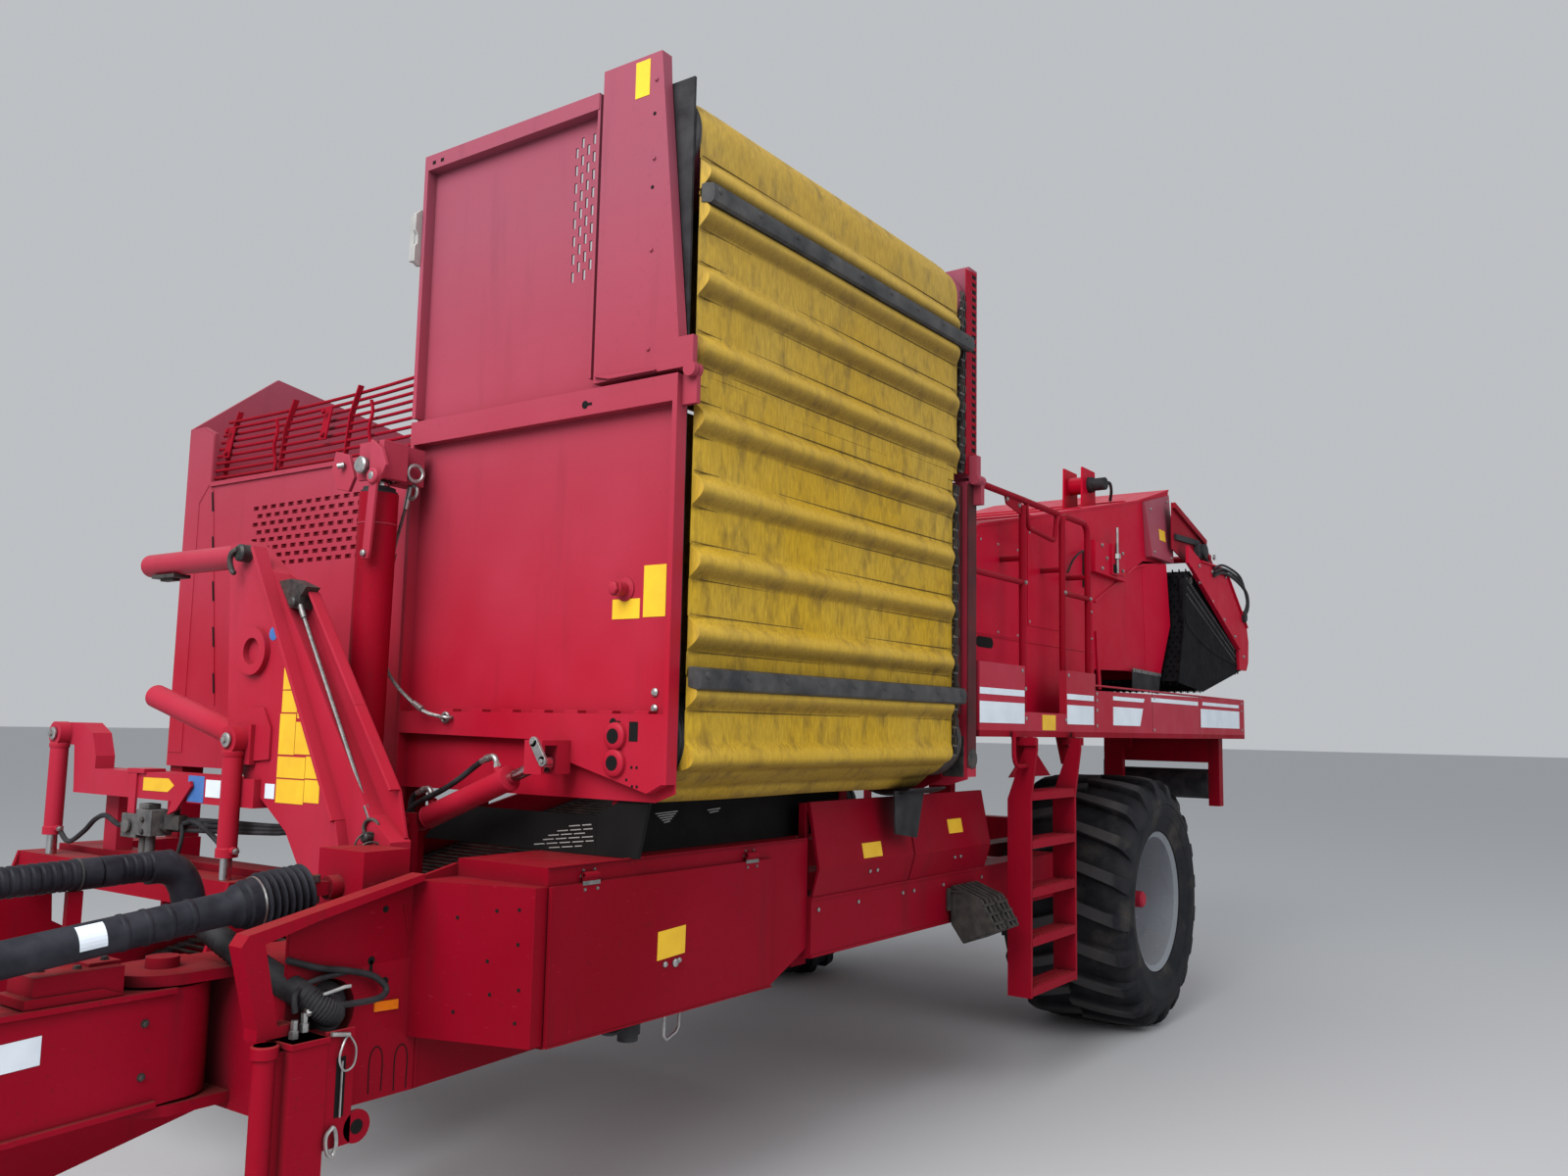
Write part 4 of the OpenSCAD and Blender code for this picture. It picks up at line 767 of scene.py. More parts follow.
def clevis_details():
    """Link plates and pins at the head of the tall cylinder."""
    x, y, z = 4.65, 0.2, 2.65
    red = Shape()
    red.plate([
        (0.12, 2.56), (0.15, 2.61), (0.11, 2.7), (0.03, 2.72), (0.01, 2.65), (0.05, 2.575),
    ], "x", x + 0.062, x + 0.078)
    red.plate([
        (0.235, 2.745), (0.3, 2.705), (0.33, 2.64), (0.3, 2.59), (0.235, 2.6),
    ], "x", x + 0.062, x + 0.078)
    red.block((x - 0.05, x + 0.062), (0.262, 0.292), (2.6, 2.74))
    piece("wall_clevis", red, "discharge_wall", "panel", 0.003)
    link = Shape()
    link.plate([
        (0.238, 2.3), (0.272, 2.3), (0.28, 2.33), (0.302, 2.61), (0.262, 2.62), (0.24, 2.33),
    ], "x", x + 0.08, x + 0.092)
    link.turned((x + 0.078, 0.282, 2.6), FORWARD, [(0, 0.03), (0.02, 0.03), (0.026, 0.024)], 16)
    piece("hanging_link", link, "discharge_wall", "panel", 0.002)
    pins = Shape()
    pins.turned((x + 0.076, y, z), FORWARD, [(0, 0.032), (0.016, 0.032), (0.022, 0.026)], 20)
    pins.turned((x + 0.092, 0.255, 2.32), FORWARD, [(0, 0.012), (0.01, 0.012), (0.013, 0.008)], 12)
    pins.bolt((x + 0.092, 0.282, 2.6), FORWARD, 0.016)
    pins.tube([(x + 0.086, 0.1, 2.66), (x + 0.1, 0.08, 2.655)], 0.011, 10)
    piece("clevis_pins", pins, "discharge_wall", "zinc")


def rope_ends():
    ends = Shape()
    ends.ring((4.56, 0.285, 2.64), (0.2, 1, 0), 0.03, 0.008)
    for points, radius in [
        ([(0.243, 2.596), (0.232, 2.555), (0.22, 2.515)], [0.011, 0.012, 0.01]),
        ([(0.162, 2.35), (0.152, 2.315)], 0.0135), ([(0.325, 1.789), (0.372, 1.766)], [0.01, 0.012]),
    ]:
        ends.tube([(ROPE_X, y, z) for y, z in points], radius, 10)
    ends.ring((4.51, 0.468, 1.738), UP, 0.02, 0.007)
    ends.ring((4.503, 0.452, 1.738), FORWARD, 0.016, 0.006)
    piece("rope_fittings", ends, "discharge_wall", "zinc")
    thimble = Shape()
    thimble.ring((ROPE_X, 0.255, 2.575), FORWARD, 0.026, 0.007)
    piece("rope_thimble", thimble, "discharge_wall", "zinc")


# The rope that hangs from the ear of the tall cylinder, as in the CAD
ROPE_X = 4.545
ROPE_POINTS = [(ROPE_X, y, z) for y, z in [
    (0.24, 2.6), (0.235, 2.57), (0.225, 2.535), (0.212, 2.5), (0.198, 2.46), (0.184, 2.42), (0.171, 2.38),
    (0.159, 2.34), (0.147, 2.3), (0.136, 2.26), (0.127, 2.22), (0.12, 2.18), (0.115, 2.14), (0.113, 2.1),
    (0.115, 2.06), (0.121, 2.02), (0.131, 1.98), (0.146, 1.94), (0.167, 1.905), (0.195, 1.875),
    (0.228, 1.848), (0.264, 1.823), (0.302, 1.8), (0.34, 1.779),
]]
ROPE_POINTS += [
    (4.543, 0.376, 1.762), (4.536, 0.408, 1.75), (4.522, 0.431, 1.743), (4.51, 0.44, 1.74),
    (4.5, 0.441, 1.74),
]
ROPE_THICK = 0.014


def rope():
    """Laid steel rope: six strands wound round its path."""
    path = [Vector(p) for p in ROPE_POINTS]
    line = curve(path, 4)
    strands = Shape()
    strands.tube(line, ROPE_THICK * 0.3, 8)
    along = [0.0]
    for a, b in zip(line, line[1:]):
        along.append(along[-1] + (b - a).length)
    lay, count = 0.085, 6
    for k in range(count):
        wound = []
        for i, p in enumerate(line):
            ahead = line[min(i + 1, len(line) - 1)] - line[max(i - 1, 0)]
            side = ahead.normalized().cross(FORWARD).normalized()
            other = ahead.normalized().cross(side)
            turn = 2 * math.pi * (along[i] / lay + k / count)
            wound.append(p + ROPE_THICK * 0.31 * (math.cos(turn) * side + math.sin(turn) * other))
        strands.tube(wound, ROPE_THICK * 0.185, 5)
    made = piece("wall_rope_strands", strands, "discharge_wall", "rope", replaces=["wall_rope"])


def railings():
    """Posts, rails, the grab loop and the foot plates along the platform."""
    y, floor, middle, top = 1.455, 1.735, 2.475, 2.9
    posts = [0.82, 1.19, 1.71, 2.31]
    bars = Shape()
    for x in posts[2:]:
        bars.tube([(x, y, floor), (x, y, top - 0.03)], 0.0185, 16)
    bars.tube([(posts[2] - 0.46, y, top - 0.004), (posts[2], y, top), (posts[3], y, top)], 0.0165, 14)
    for x in posts[1:3]:
        bars.tube([(x, y - 0.01, 2.6), (x, 1.332, 2.6)], 0.014, 12)
    bars.tube([(posts[2], y, middle), (posts[3], y, middle)], 0.0145, 12)
    arch = [
        (posts[0], y, floor), (posts[0], y, 2.84), (posts[0] + 0.012, y, 2.876), (posts[0] + 0.05, y, top),
    ]
    arch += [
        (posts[1] - 0.05, y, top), (posts[1] - 0.012, y, 2.885), (posts[1], y, 2.85), (posts[1], y, floor),
    ]
    bars.tube(arch, 0.0175, 16)
    bars.tube([(posts[0], y, middle), (posts[1], y, middle)], 0.0145, 12)
    bars.tube([(posts[0], y - 0.01, 2.6), (posts[0], 1.332, 2.6)], 0.014, 12)
    bars.hose([
        (1.664, y, 2.895), (1.65, y, 2.815), (1.632, y, 2.772), (1.595, y, 2.762), (1.46, y, 2.753),
        (1.33, y, 2.744), (1.296, y, 2.756), (1.282, y, 2.8), (1.266, y, 2.893),
    ], 0.012, 12)
    bars.plate([(1.925, 2.893), (1.905, 2.848), (1.735, 2.82), (1.728, 2.893)], "y", y - 0.004, y + 0.004)
    for x in posts:
        bars.turned((x, y, 1.731), UP, [(0, 0.045), (0.008, 0.045), (0.01, 0.02)], 20)
    piece("railing_bars", bars, "chassis", "frame", replaces=["railings"])
    heads = Shape()
    for x, z in [(1.905, 2.872), (1.76, 2.862), (1.71, middle), (1.19, middle), (0.82, middle)]:
        heads.bolt((x, y + 0.004 if x > 1.72 else y + 0.017, z), LEFT, 0.009)
    piece("railing_bolts", heads, "chassis", "zinc")


# Hopper: its front face and its upper edge
HOPPER_FRONT = 4.42
HOPPER_TOP = 2.79


def hopper_guard():
    """Nine guard bars that lean back over the hopper, their straps and twisted uprights."""
    bars = Shape()
    x0 = HOPPER_FRONT - 0.02
    for i in range(9):
        x = x0 + 0.004 - 0.0008 * i * i
        z = (HOPPER_TOP + 0.02 + 0.034 * i, HOPPER_TOP + 0.02 + 0.038 * i)
        bow = 0.02 + 0.002 * i
        line = [
            (x - bow * (1 - (2 * t - 1) ** 2), -1.33 + 1.45 * t, z[0] + (z[1] - z[0]) * t)
            for t in [k / 14 for k in range(15)]
        ]
        bars.tube(line, 0.0075, 8)
    for y in (-1.29, -0.86, -0.4, 0.06):
        bars.plate([
            (x0, HOPPER_TOP - 0.03), (x0 - 0.018, HOPPER_TOP - 0.03), (x0 - 0.046, HOPPER_TOP + 0.205),
            (x0 - 0.086, HOPPER_TOP + 0.342), (x0 - 0.06, HOPPER_TOP + 0.342),
            (x0 - 0.022, HOPPER_TOP + 0.205),
        ], "y", y, y + 0.008)
    for y in (-1.24, -0.52):
        bars.beam((x0 + 0.012, y, 2.895), (x0 - 0.012, y, 3.04), 0.045, 0.006, (1, 0, 0.2))
        for z in (2.915, 3.015):
            bars.bolt((x0 + 0.016, y, z), (1, 0, 0.15), 0.009)
    for y in (-0.87, -0.21):
        turns = [(0.018 * math.cos(k * 0.9), 0.018 * math.sin(k * 0.9)) for k in range(13)]
        bars.tube([
            (x0 + 0.006 + 0.3 * a, y + 0.3 * b, 2.775 + 0.021 * k) for k, (a, b) in enumerate(turns)
        ], 0.008, 6)
    piece("hopper_guard_bars", bars, "chassis", "frame", replaces=["hopper_cage"])


def hopper_details():
    """Trim on the hopper's front, and slots along its slanted seam."""
    trim, shade = Shape(), Shape()
    (y0, z0), (y1, z1) = (-1.314, 2.756), (-1.184, 1.773)
    seam = [(y0 - 0.004, z0), (y0 + 0.004, z0), (y1 + 0.004, z1), (y1 - 0.004, z1)]
    trim.plate(seam, "x", *on(HOPPER_FRONT, 0.004))
    trim.block(on(HOPPER_FRONT, 0.01), (-1.33, 0.125), (HOPPER_TOP - 0.022, HOPPER_TOP - 0.002))
    trim.plate([
        (-1.535, 1.56), (-1.535, 3.052), (-1.425, 3.052), (-1.335, 3.01), (-1.335, 2.79), (-1.42, 2.7),
        (-1.42, 1.56),
    ], "x", *on(HOPPER_FRONT, 0.003))
    for i in range(5):
        share = 0.06 + 0.21 * i
        y, z = y0 + (y1 - y0) * share, z0 + (z1 - z0) * share
        shade.plate([
            (y - 0.012, z + 0.045), (y - 0.002, z + 0.045), (y + 0.012, z - 0.045), (y + 0.002, z - 0.045),
        ], "x", HOPPER_FRONT + 0.002, HOPPER_FRONT + 0.005)
    piece("hopper_trim", trim, "chassis", "panel", 0.0008)
    piece("hopper_slots", shade, "chassis", "void")


# Ladder: serrated treads, side plates under the platform and grab handles
LADDER_X = (1.28, 1.84)
LADDER_Y = (1.44, 1.56)
TREADS, TREAD_Z, TREAD_STEP = 5, 0.516, 0.23


def ladder_details():
    steps, grip = Shape(), Shape()
    for i in range(TREADS):
        z = TREAD_Z + TREAD_STEP * i
        for k in range(22):
            x = LADDER_X[0] + 0.03 + k * (LADDER_X[1] - LADDER_X[0] - 0.06) / 21
            for y in (LADDER_Y[0] + 0.018, LADDER_Y[0] + 0.055, LADDER_Y[0] + 0.092, LADDER_Y[1] - 0.004):
                steps.turned((x, y, z - 0.002), UP, [(0, 0.007), (0.006, 0.004)], 6)
        steps.block(
            (LADDER_X[0] + 0.02, LADDER_X[1]), (LADDER_Y[1] - 0.004, LADDER_Y[1] + 0.001),
            (z - 0.04, z - 0.001),
        )
    piece("ladder_treads", steps, "step_ladder", "frame")
    front = LADDER_X[1] + 0.155
    grip.hose([
        (front, 1.535, 1.726), (front, 1.535, 1.64), (front, 1.538, 1.595), (front - 0.02, 1.54, 1.566),
        (front - 0.06, 1.54, 1.56), (LADDER_X[1] + 0.012, 1.54, 1.56),
    ], 0.011, 12)
    rear = LADDER_X[0] - 0.03
    grip.hose([
        (rear, 1.535, 1.726), (rear, 1.535, 1.64), (rear + 0.004, 1.537, 1.6), (rear + 0.024, 1.538, 1.58),
    ], 0.011, 12)
    piece("ladder_handles", grip, "chassis", "frame")
    oblique = Shape()
    for x in LADDER_X:
        oblique.plate([(1.47, 1.56), (1.545, 1.56), (1.5, 1.7), (1.44, 1.7)], "x", x - 0.026, x - 0.02)
    oblique.plate([(LADDER_X[0] + 0.02, 1.5), (LADDER_X[1] - 0.02, 1.5), (1.56, 1.668)], "y", 1.424, 1.43)
    piece("ladder_gussets", oblique, "chassis", "frame", 0.001)


# Side panel with its stripes
PANEL_Y = 1.52
# The stripes, each with how far its rear end leans forward
STRIPES = [
    (1.838, 2.334, 1.896, 1.926, 0), (1.838, 2.334, 1.764, 1.863, 0), (0.912, 1.293, 1.899, 1.928, 0),
    (0.912, 1.293, 1.769, 1.87, 0), (0.07, 0.609, 1.913, 1.936, 0.02), (0.1, 0.609, 1.771, 1.876, 0.055),
    (-1.019, -0.055, 1.921, 1.947, 0), (-2.041, -1.125, 1.926, 1.949, 0), (-2.049, -1.081, 1.776, 1.902, 0),
]


def side_panel_details():
    tape, plates = Shape(), Shape()
    for x0, x1, z0, z1, slant in STRIPES:
        tape.plate([(x1, z0), (x0 + slant, z0), (x0, z1), (x1, z1)], "y", *on(PANEL_Y, 0.0012))
    piece("panel_stripes", tape, "chassis", "white")
    plates.block((1.451, 1.619), on(PANEL_Y, 0.0015), (1.735, 1.812))
    piece("panel_sign", plates, "chassis", "sign")
    seams, heads = Shape(), Shape()
    for x in (0.886, -0.075, -1.06):
        seams.block((x - 0.0015, x + 0.0015), (PANEL_Y - 0.002, PANEL_Y + 0.0006), (1.732, 1.984))
    piece("panel_seams", seams, "chassis", "void")
    for x, z in [
        (0.862, 1.942), (0.862, 1.905), (0.862, 1.85), (0.862, 1.765), (1.822, 1.935), (1.815, 1.79),
        (1.31, 1.79), (-0.11, 1.945), (-0.11, 1.75), (-2.12, 1.962), (-2.12, 1.905), (-2.12, 1.765),
        (1.27, 2.025), (1.86, 2.022),
    ]:
        heads.turned((x, PANEL_Y - 0.001, z), LEFT, [(0, 0.01), (0.003, 0.01), (0.006, 0.005)], 12)
    piece("panel_bolts", heads, "chassis", "zinc")
    lip = Shape()
    lip.block((-2.19, 0.88), (1.482, 1.519), (1.983, 1.992))
    piece("panel_lip", lip, "chassis", "panel", 0.001)


# Mast and the beam over the intake
MAST_FRONT = 4.94
BEAM_FRONT = 4.966


def mast_plates():
    red = Shape()
    for a, b, out in [((-0.052, 2.332), (0.5, 1.395), 0.052), ((0.5, 1.395), (0.575, 1.16), 0.04)]:
        red.strip(a, b, 0.014, "x", MAST_FRONT - 0.004, MAST_FRONT + out)
    slant = [(0.19, 2.165), (0.485, 1.771), (0.69, 1.5)]
    red.plate([(0.01, 2.25), *slant, (0.735, 1.35), (0.6, 1.35)], "x", 4.866, 4.878)
    for a, b in zip(slant, slant[1:]):
        red.strip(a, b, 0.01, "x", 4.874, 4.915)
    red.block((4.89, BEAM_FRONT + 0.01), (-0.812, -0.69), (1.505, 1.522))
    red.block((BEAM_FRONT - 0.002, BEAM_FRONT + 0.008), (-0.795, -0.745), (1.33, 1.522))
    red.plate([
        (-0.47, 1.42), (-0.43, 1.46), (-0.36, 1.49), (-0.35, 1.47), (-0.44, 1.38), (-0.5, 1.36),
    ], "x", BEAM_FRONT + 0.004, BEAM_FRONT + 0.016)
    red.plate([
        (-0.17, 1.56), (-0.17, 1.69), (-0.06, 1.76), (0.02, 1.76), (0.07, 1.69), (0.07, 1.58),
    ], "x", MAST_FRONT - 0.003, MAST_FRONT + 0.01)
    piece("mast_plates", red, "chassis", "panel", 0.0015)


def mast_hardware():
    dark = Shape()
    dark.plate([
        (0.027, 2.208), (0.11, 2.214), (0.207, 2.182), (0.172, 2.15), (0.166, 2.105), (0.11, 2.113),
    ], "x", 4.878, 4.934)
    dark.turned((4.93, 0.15, 2.13), FORWARD, [(0, 0.018), (0.02, 0.018), (0.026, 0.012)], 16)
    dark.turned(
        (MAST_FRONT - 0.002, -0.149, 2.318), FORWARD, [(0, 0.032), (0.04, 0.032), (0.048, 0.024)], 20,
    )
    dark.hose([
        (4.985, -0.149, 2.33), (4.995, -0.168, 2.315), (4.992, -0.18, 2.282), (4.985, -0.172, 2.25),
        (4.985, -0.158, 2.243),
    ], [0.01] * 16 + [0.006], 8, 4)
    dark.block((4.865, 4.935), (-0.82, -0.66), (2.262, 2.276))
    dark.block((4.885, 4.915), (-0.79, -0.7), (2.252, 2.264))
    piece("mast_hardware", dark, "chassis", "steel", 0.0015)


def mast_cable():
    cable = Shape()
    cable.tube([(4.925, 0.158, 2.125), (4.928, 0.4, 1.752), (4.932, 0.628, 1.402)], 0.0065, 8)
    cable.tube([(4.925, 0.163, 2.118), (4.926, 0.192, 2.073)], 0.01, 10)
    cable.tube([(4.932, 0.598, 1.448), (4.932, 0.628, 1.402)], 0.01, 10)
    piece("mast_cable", cable, "chassis", "rope")
    shackle = Shape()
    shackle.ring((4.94, 0.64, 1.38), (1, 0.3, 0), 0.028, 0.006)
    shackle.ring((4.955, 0.65, 1.325), (0.3, 1, 0), 0.042, 0.0035)
    shackle.ring((4.96, 0.675, 1.3), (0.6, 0.8, 0.2), 0.04, 0.003)
    shackle.turned((4.935, 0.64, 1.352), FORWARD, [(0, 0.018), (0.03, 0.018), (0.036, 0.012)], 12)
    piece("mast_shackle", shackle, "chassis", "steel")


# Blank signs on the mast, each with its span in y and in z
MAST_SIGNS = [
    (0.118, 0.21, 1.824, 1.9), (0.118, 0.206, 1.745, 1.82), (0.21, 0.262, 1.725, 1.812),
    (0.112, 0.203, 1.6, 1.74), (0.206, 0.298, 1.603, 1.713), (0.112, 0.271, 1.521, 1.593),
    (0.274, 0.358, 1.524, 1.597), (0.113, 0.271, 1.435, 1.516), (0.274, 0.358, 1.443, 1.519),
]


def front_signs():
    """Blank plates on the mast and the beam."""
    signs, white, tape = Shape(), Shape(), Shape()
    for y0, y1, z0, z1 in MAST_SIGNS:
        signs.block(on(MAST_FRONT, 0.0014), (y0, y1), (z0, z1))
    arrow = [(-0.705, 1.441), (-0.705, 1.49), (-0.53, 1.492), (-0.489, 1.467), (-0.53, 1.442)]
    signs.plate(arrow, "x", *on(BEAM_FRONT, 0.0014))
    piece("mast_signs", signs, "chassis", "sign")
    for y0, y1, z0, z1 in [(-0.278, -0.168, 1.436, 1.498), (-0.16, -0.08, 1.43, 1.504)]:
        white.block(on(BEAM_FRONT, 0.0014), (y0, y1), (z0, z1))
    white.block(on(MAST_FRONT, 0.0014), (0.048, 0.104), (1.446, 1.497))
    piece("beam_labels", white, "chassis", "white")
    tape.block(on(BEAM_FRONT, 0.0012), (-0.395, -0.29), (1.414, 1.509))
    tape.disc((MAST_FRONT - 0.001, 0.038, 2.021), FORWARD, 0.024, 0.0022)
    piece("beam_tape", tape, "chassis", "tape")


def valve_block():
    cast, fit = Shape(), Shape()
    cast.block((4.915, 4.985), (-0.812, -0.7), (1.262, 1.352))
    cast.block((4.905, 4.99), (-0.7, -0.59), (1.275, 1.372))
    cast.turned((4.99, -0.755, 1.305), FORWARD, [(0, 0.026), (0.012, 0.026), (0.014, 0.02)], 16)
    cast.turned((4.95, -0.812, 1.305), -LEFT, [(0, 0.022), (0.03, 0.022), (0.036, 0.014)], 12)
    cast.block((4.92, 4.97), (-0.72, -0.65), (1.372, 1.392))
    cast.disc((4.945, -0.665, 1.13), UP, 0.018, 0.145, 12)
    cast.disc((4.945, -0.715, 1.13), UP, 0.016, 0.145, 12)
    piece("valve_block", cast, "chassis", "cast", 0.003)
    fit.turned((4.945, -0.53, 1.31), -LEFT, [(0, 0.02), (0.03, 0.02), (0.034, 0.014), (0.06, 0.014)], 12)
    fit.block((4.93, 4.965), (-0.545, -0.445), (1.305, 1.36))
    fit.turned((4.945, -0.495, 1.36), UP, [(0, 0.012), (0.04, 0.012), (0.045, 0.008)], 10)
    for z in (1.29, 1.335):
        fit.bolt((4.99, -0.645, z), FORWARD, 0.01)
    piece("valve_fittings", fit, "chassis", "steel", 0.002)


def beam_hoses():
    hoses = Shape()
    hoses.hose([
        (4.95, -0.85, 1.305), (4.95, -0.9, 1.3), (4.955, -0.99, 1.33), (4.96, -1.06, 1.31),
        (4.965, -1.13, 1.26), (4.975, -1.225, 1.215), (4.985, -1.292, 1.262),
    ], 0.01)
    hoses.hose([
        (4.945, -0.445, 1.33), (4.935, -0.4, 1.34), (4.93, -0.33, 1.32), (4.93, -0.2, 1.255),
        (4.945, -0.16, 1.225), (4.965, -0.135, 1.235), (4.985, -0.118, 1.262),
    ], 0.01)
    hoses.hose([
        (4.96, -0.495, 1.4), (4.955, -0.48, 1.36), (4.95, -0.44, 1.3), (4.945, -0.48, 1.2),
        (4.94, -0.56, 1.12),
    ], 0.008)
    for k in range(3):
        hoses.hose([
            (4.935, -0.59, 1.3 + 0.02 * k), (4.92, -0.3, 1.31 + 0.018 * k), (4.91, 0.05, 1.325 + 0.012 * k),
            (4.9, 0.12, 1.33 + 0.012 * k), (4.862, 0.205, 1.335 + 0.01 * k),
        ], 0.009)
    piece("beam_hoses", hoses, "chassis", "rubber")


# The two lift barrels of the intake
LIFT_X = 4.99
LIFT_Y = (-1.33, -0.08)


def lift_details():
    red, steel = Shape(), Shape()
    for y in LIFT_Y:
        red.turned((LIFT_X, y, 1.238), UP, [(0, 0.03), (0, 0.038), (0.03, 0.038), (0.034, 0.0345)], 24)
        red.turned((LIFT_X, y, 1.585), UP, [(0, 0.0345), (0.006, 0.038), (0.02, 0.038), (0.026, 0.03)], 24)
        red.disc((LIFT_X, y + 0.03, 1.262), LEFT, 0.014, 0.02, 12)
        steel.turned((LIFT_X + 0.028, y, 1.645), FORWARD, [(0, 0.026), (0.006, 0.026), (0.01, 0.02)], 20)
        steel.bolt((LIFT_X + 0.036, y, 1.645), FORWARD, 0.012)
        steel.turned((LIFT_X, y + 0.046, 1.262), LEFT, [(0, 0.011), (0.016, 0.011), (0.018, 0.008)], 8)
    piece("lift_collars", red, "chassis", "panel", 0.001)
    piece("lift_pins", steel, "chassis", "zinc")


# The tall and the tilt cylinder from foot to eye, and how much of the tall one is its barrel
TALL_FOOT, TALL_EYE = Vector((4.65, 0.18, 1.3)), Vector((4.65, 0.2, 2.65))
TALL_SHARE = 0.93
TILT_FOOT, TILT_EYE = Vector((4.59, 0.44, 1.37)), Vector((4.59, 1.04, 1.595))


def tall_cylinder():
    """The gland and the weld rings of the wall's tall cylinder."""
    u = (TALL_EYE - TALL_FOOT).normalized()
    top = TALL_FOOT + (TALL_EYE - TALL_FOOT) * TALL_SHARE
    gland, welds = Shape(), Shape()
    gland.turned(
        top - 0.002 * u, u, [(0, 0.066), (0.01, 0.066), (0.014, 0.058), (0.024, 0.058), (0.03, 0.04)], 32,
    )
    piece("tall_gland", gland, "fold_cylinder", "rubber", 0.001)
    welds.ring(top - 0.115 * u, u, 0.0695, 0.0035, 40, 6)
    welds.ring(TALL_FOOT + 0.125 * u, u, 0.069, 0.0045, 40, 6)
    welds.disc(TALL_FOOT + 0.15 * u + Vector((0.066, 0, 0)), FORWARD, 0.018, 0.022, 14)
    piece("tall_welds", welds, "fold_cylinder", "panel", 0.0006)


def tilt_cylinder():
    u = (TILT_EYE - TILT_FOOT).normalized()
    n = Vector((0, -u.z, u.y))

    def spot(s, h, out=0.0):
        """A place along the cylinder, above its axis and forward of it."""
        return TILT_FOOT + u * s + n * h + Vector((out, 0, 0))

    red, steel, black = Shape(), Shape(), Shape()
    ports = (0.438, 0.092)
    red.turned(spot(0.462, 0), u, [(0, 0.0405), (0.004, 0.044), (0.022, 0.044), (0.026, 0.034)], 28)
    for s in ports:
        red.turned(spot(s, 0.034), n, [(0, 0.016), (0.018, 0.016), (0.02, 0.012)], 14)
    red.ring(spot(0.058, 0), u, 0.0385, 0.004, 28, 6)
    piece("tilt_collars", red, "tilt_cylinder", "panel", 0.0006)
    for s in ports:
        steel.turned(spot(s, 0.05), n, [(0, 0.013), (0.014, 0.013), (0.016, 0.01), (0.026, 0.01)], 6)
        steel.hose([
            spot(s, 0.074), spot(s - 0.002, 0.086), spot(s - 0.012, 0.096), spot(s - 0.03, 0.098),
        ], 0.0105, 10, 4)
        steel.turned(
            spot(s - 0.03, 0.098), -u, [(0, 0.014), (0.014, 0.014), (0.016, 0.011), (0.04, 0.011)], 8,
        )
    piece("tilt_fittings", steel, "tilt_cylinder", "zinc")
    black.hose([
        spot(0.37, 0.098), spot(0.32, 0.09), spot(0.24, 0.074, 0.004), spot(0.16, 0.064, 0.01),
        spot(0.08, 0.058, 0.024), spot(0.02, 0.05, 0.03), spot(-0.03, 0.02, 0.03), spot(-0.04, -0.02, 0.028),
    ], 0.0105, 10, 6)
    black.hose([
        spot(0.024, 0.098), spot(0.0, 0.094), spot(-0.022, 0.07), spot(-0.03, 0.03, -0.004),
        spot(-0.032, -0.02, -0.006),
    ], 0.0105, 10, 6)
    piece("tilt_hoses", black, "tilt_cylinder", "rubber")


def tilt_link():
    link = Shape()
    link.strip((1.05, 1.664), (1.092, 1.603), 0.034, "x", 4.632, 4.643)
    for x, radius, depth, sides in [(4.632, 0.017, 0.011, 16), (4.643, 0.009, 0.007, 6)]:
        for y, z in [(1.049, 1.664), (1.092, 1.603)]:
            link.disc((x, y, z), FORWARD, radius, depth, sides)
    piece("tilt_link", link, "discharge_wall", "zinc", 0.001)


# Tool box: its door on the left side, and what hangs under it
DOOR_Y = 1.317
BOX_Y = 1.3


def box_door():
    """The door's blank plate, hinges, lock and folded edges."""
    signs = Shape()
    signs.plate([(4.166, 0.966), (4.164, 1.058), (4.306, 1.05), (4.308, 0.958)], "y", *on(DOOR_Y, 0.0015))
    piece("box_sign", signs, "tool_box_door", "sign")
    leaf, knuckle = Shape(), Shape()
    for x in (3.75, 4.59):
        leaf.block((x + 0.002, x + 0.078), on(DOOR_Y, 0.0025), (1.233, 1.2455))
        for dx in (0.012, 0.068):
            leaf.bolt((x + dx, DOOR_Y, 1.22), LEFT, 0.0045)
        knuckle.block((x - 0.002, x + 0.074), on(BOX_Y, 0.002), (1.256, 1.264))
        for dx in (0.01, 0.06):
            knuckle.bolt((x + dx, BOX_Y, 1.276), LEFT, 0.004)
    piece("door_leaves", leaf, "tool_box_door", "rope", 0.0006)
    piece("box_hinge_plates", knuckle, "chassis", "rope", 0.0006)
    lock = Shape()
    for x, z, r in [(4.268, 0.942, 0.01), (4.215, 0.94, 0.014), (4.196, 0.946, 0.009)]:
        lock.turned((x, DOOR_Y - 0.001, z), LEFT, [(0, r), (0.006, r), (0.01, r * 0.6)], 14)
    piece("door_lock", lock, "tool_box_door", "zinc")
    edge = Shape()
    edge.block((3.655, 4.8), (DOOR_Y - 0.0135, DOOR_Y + 0.004), (0.774, 0.7795))
    edge.block((4.7955, 4.8005), (DOOR_Y - 0.002, DOOR_Y + 0.002), (0.78, 1.24))
    piece("door_edges", edge, "tool_box_door", "low", 0.001)


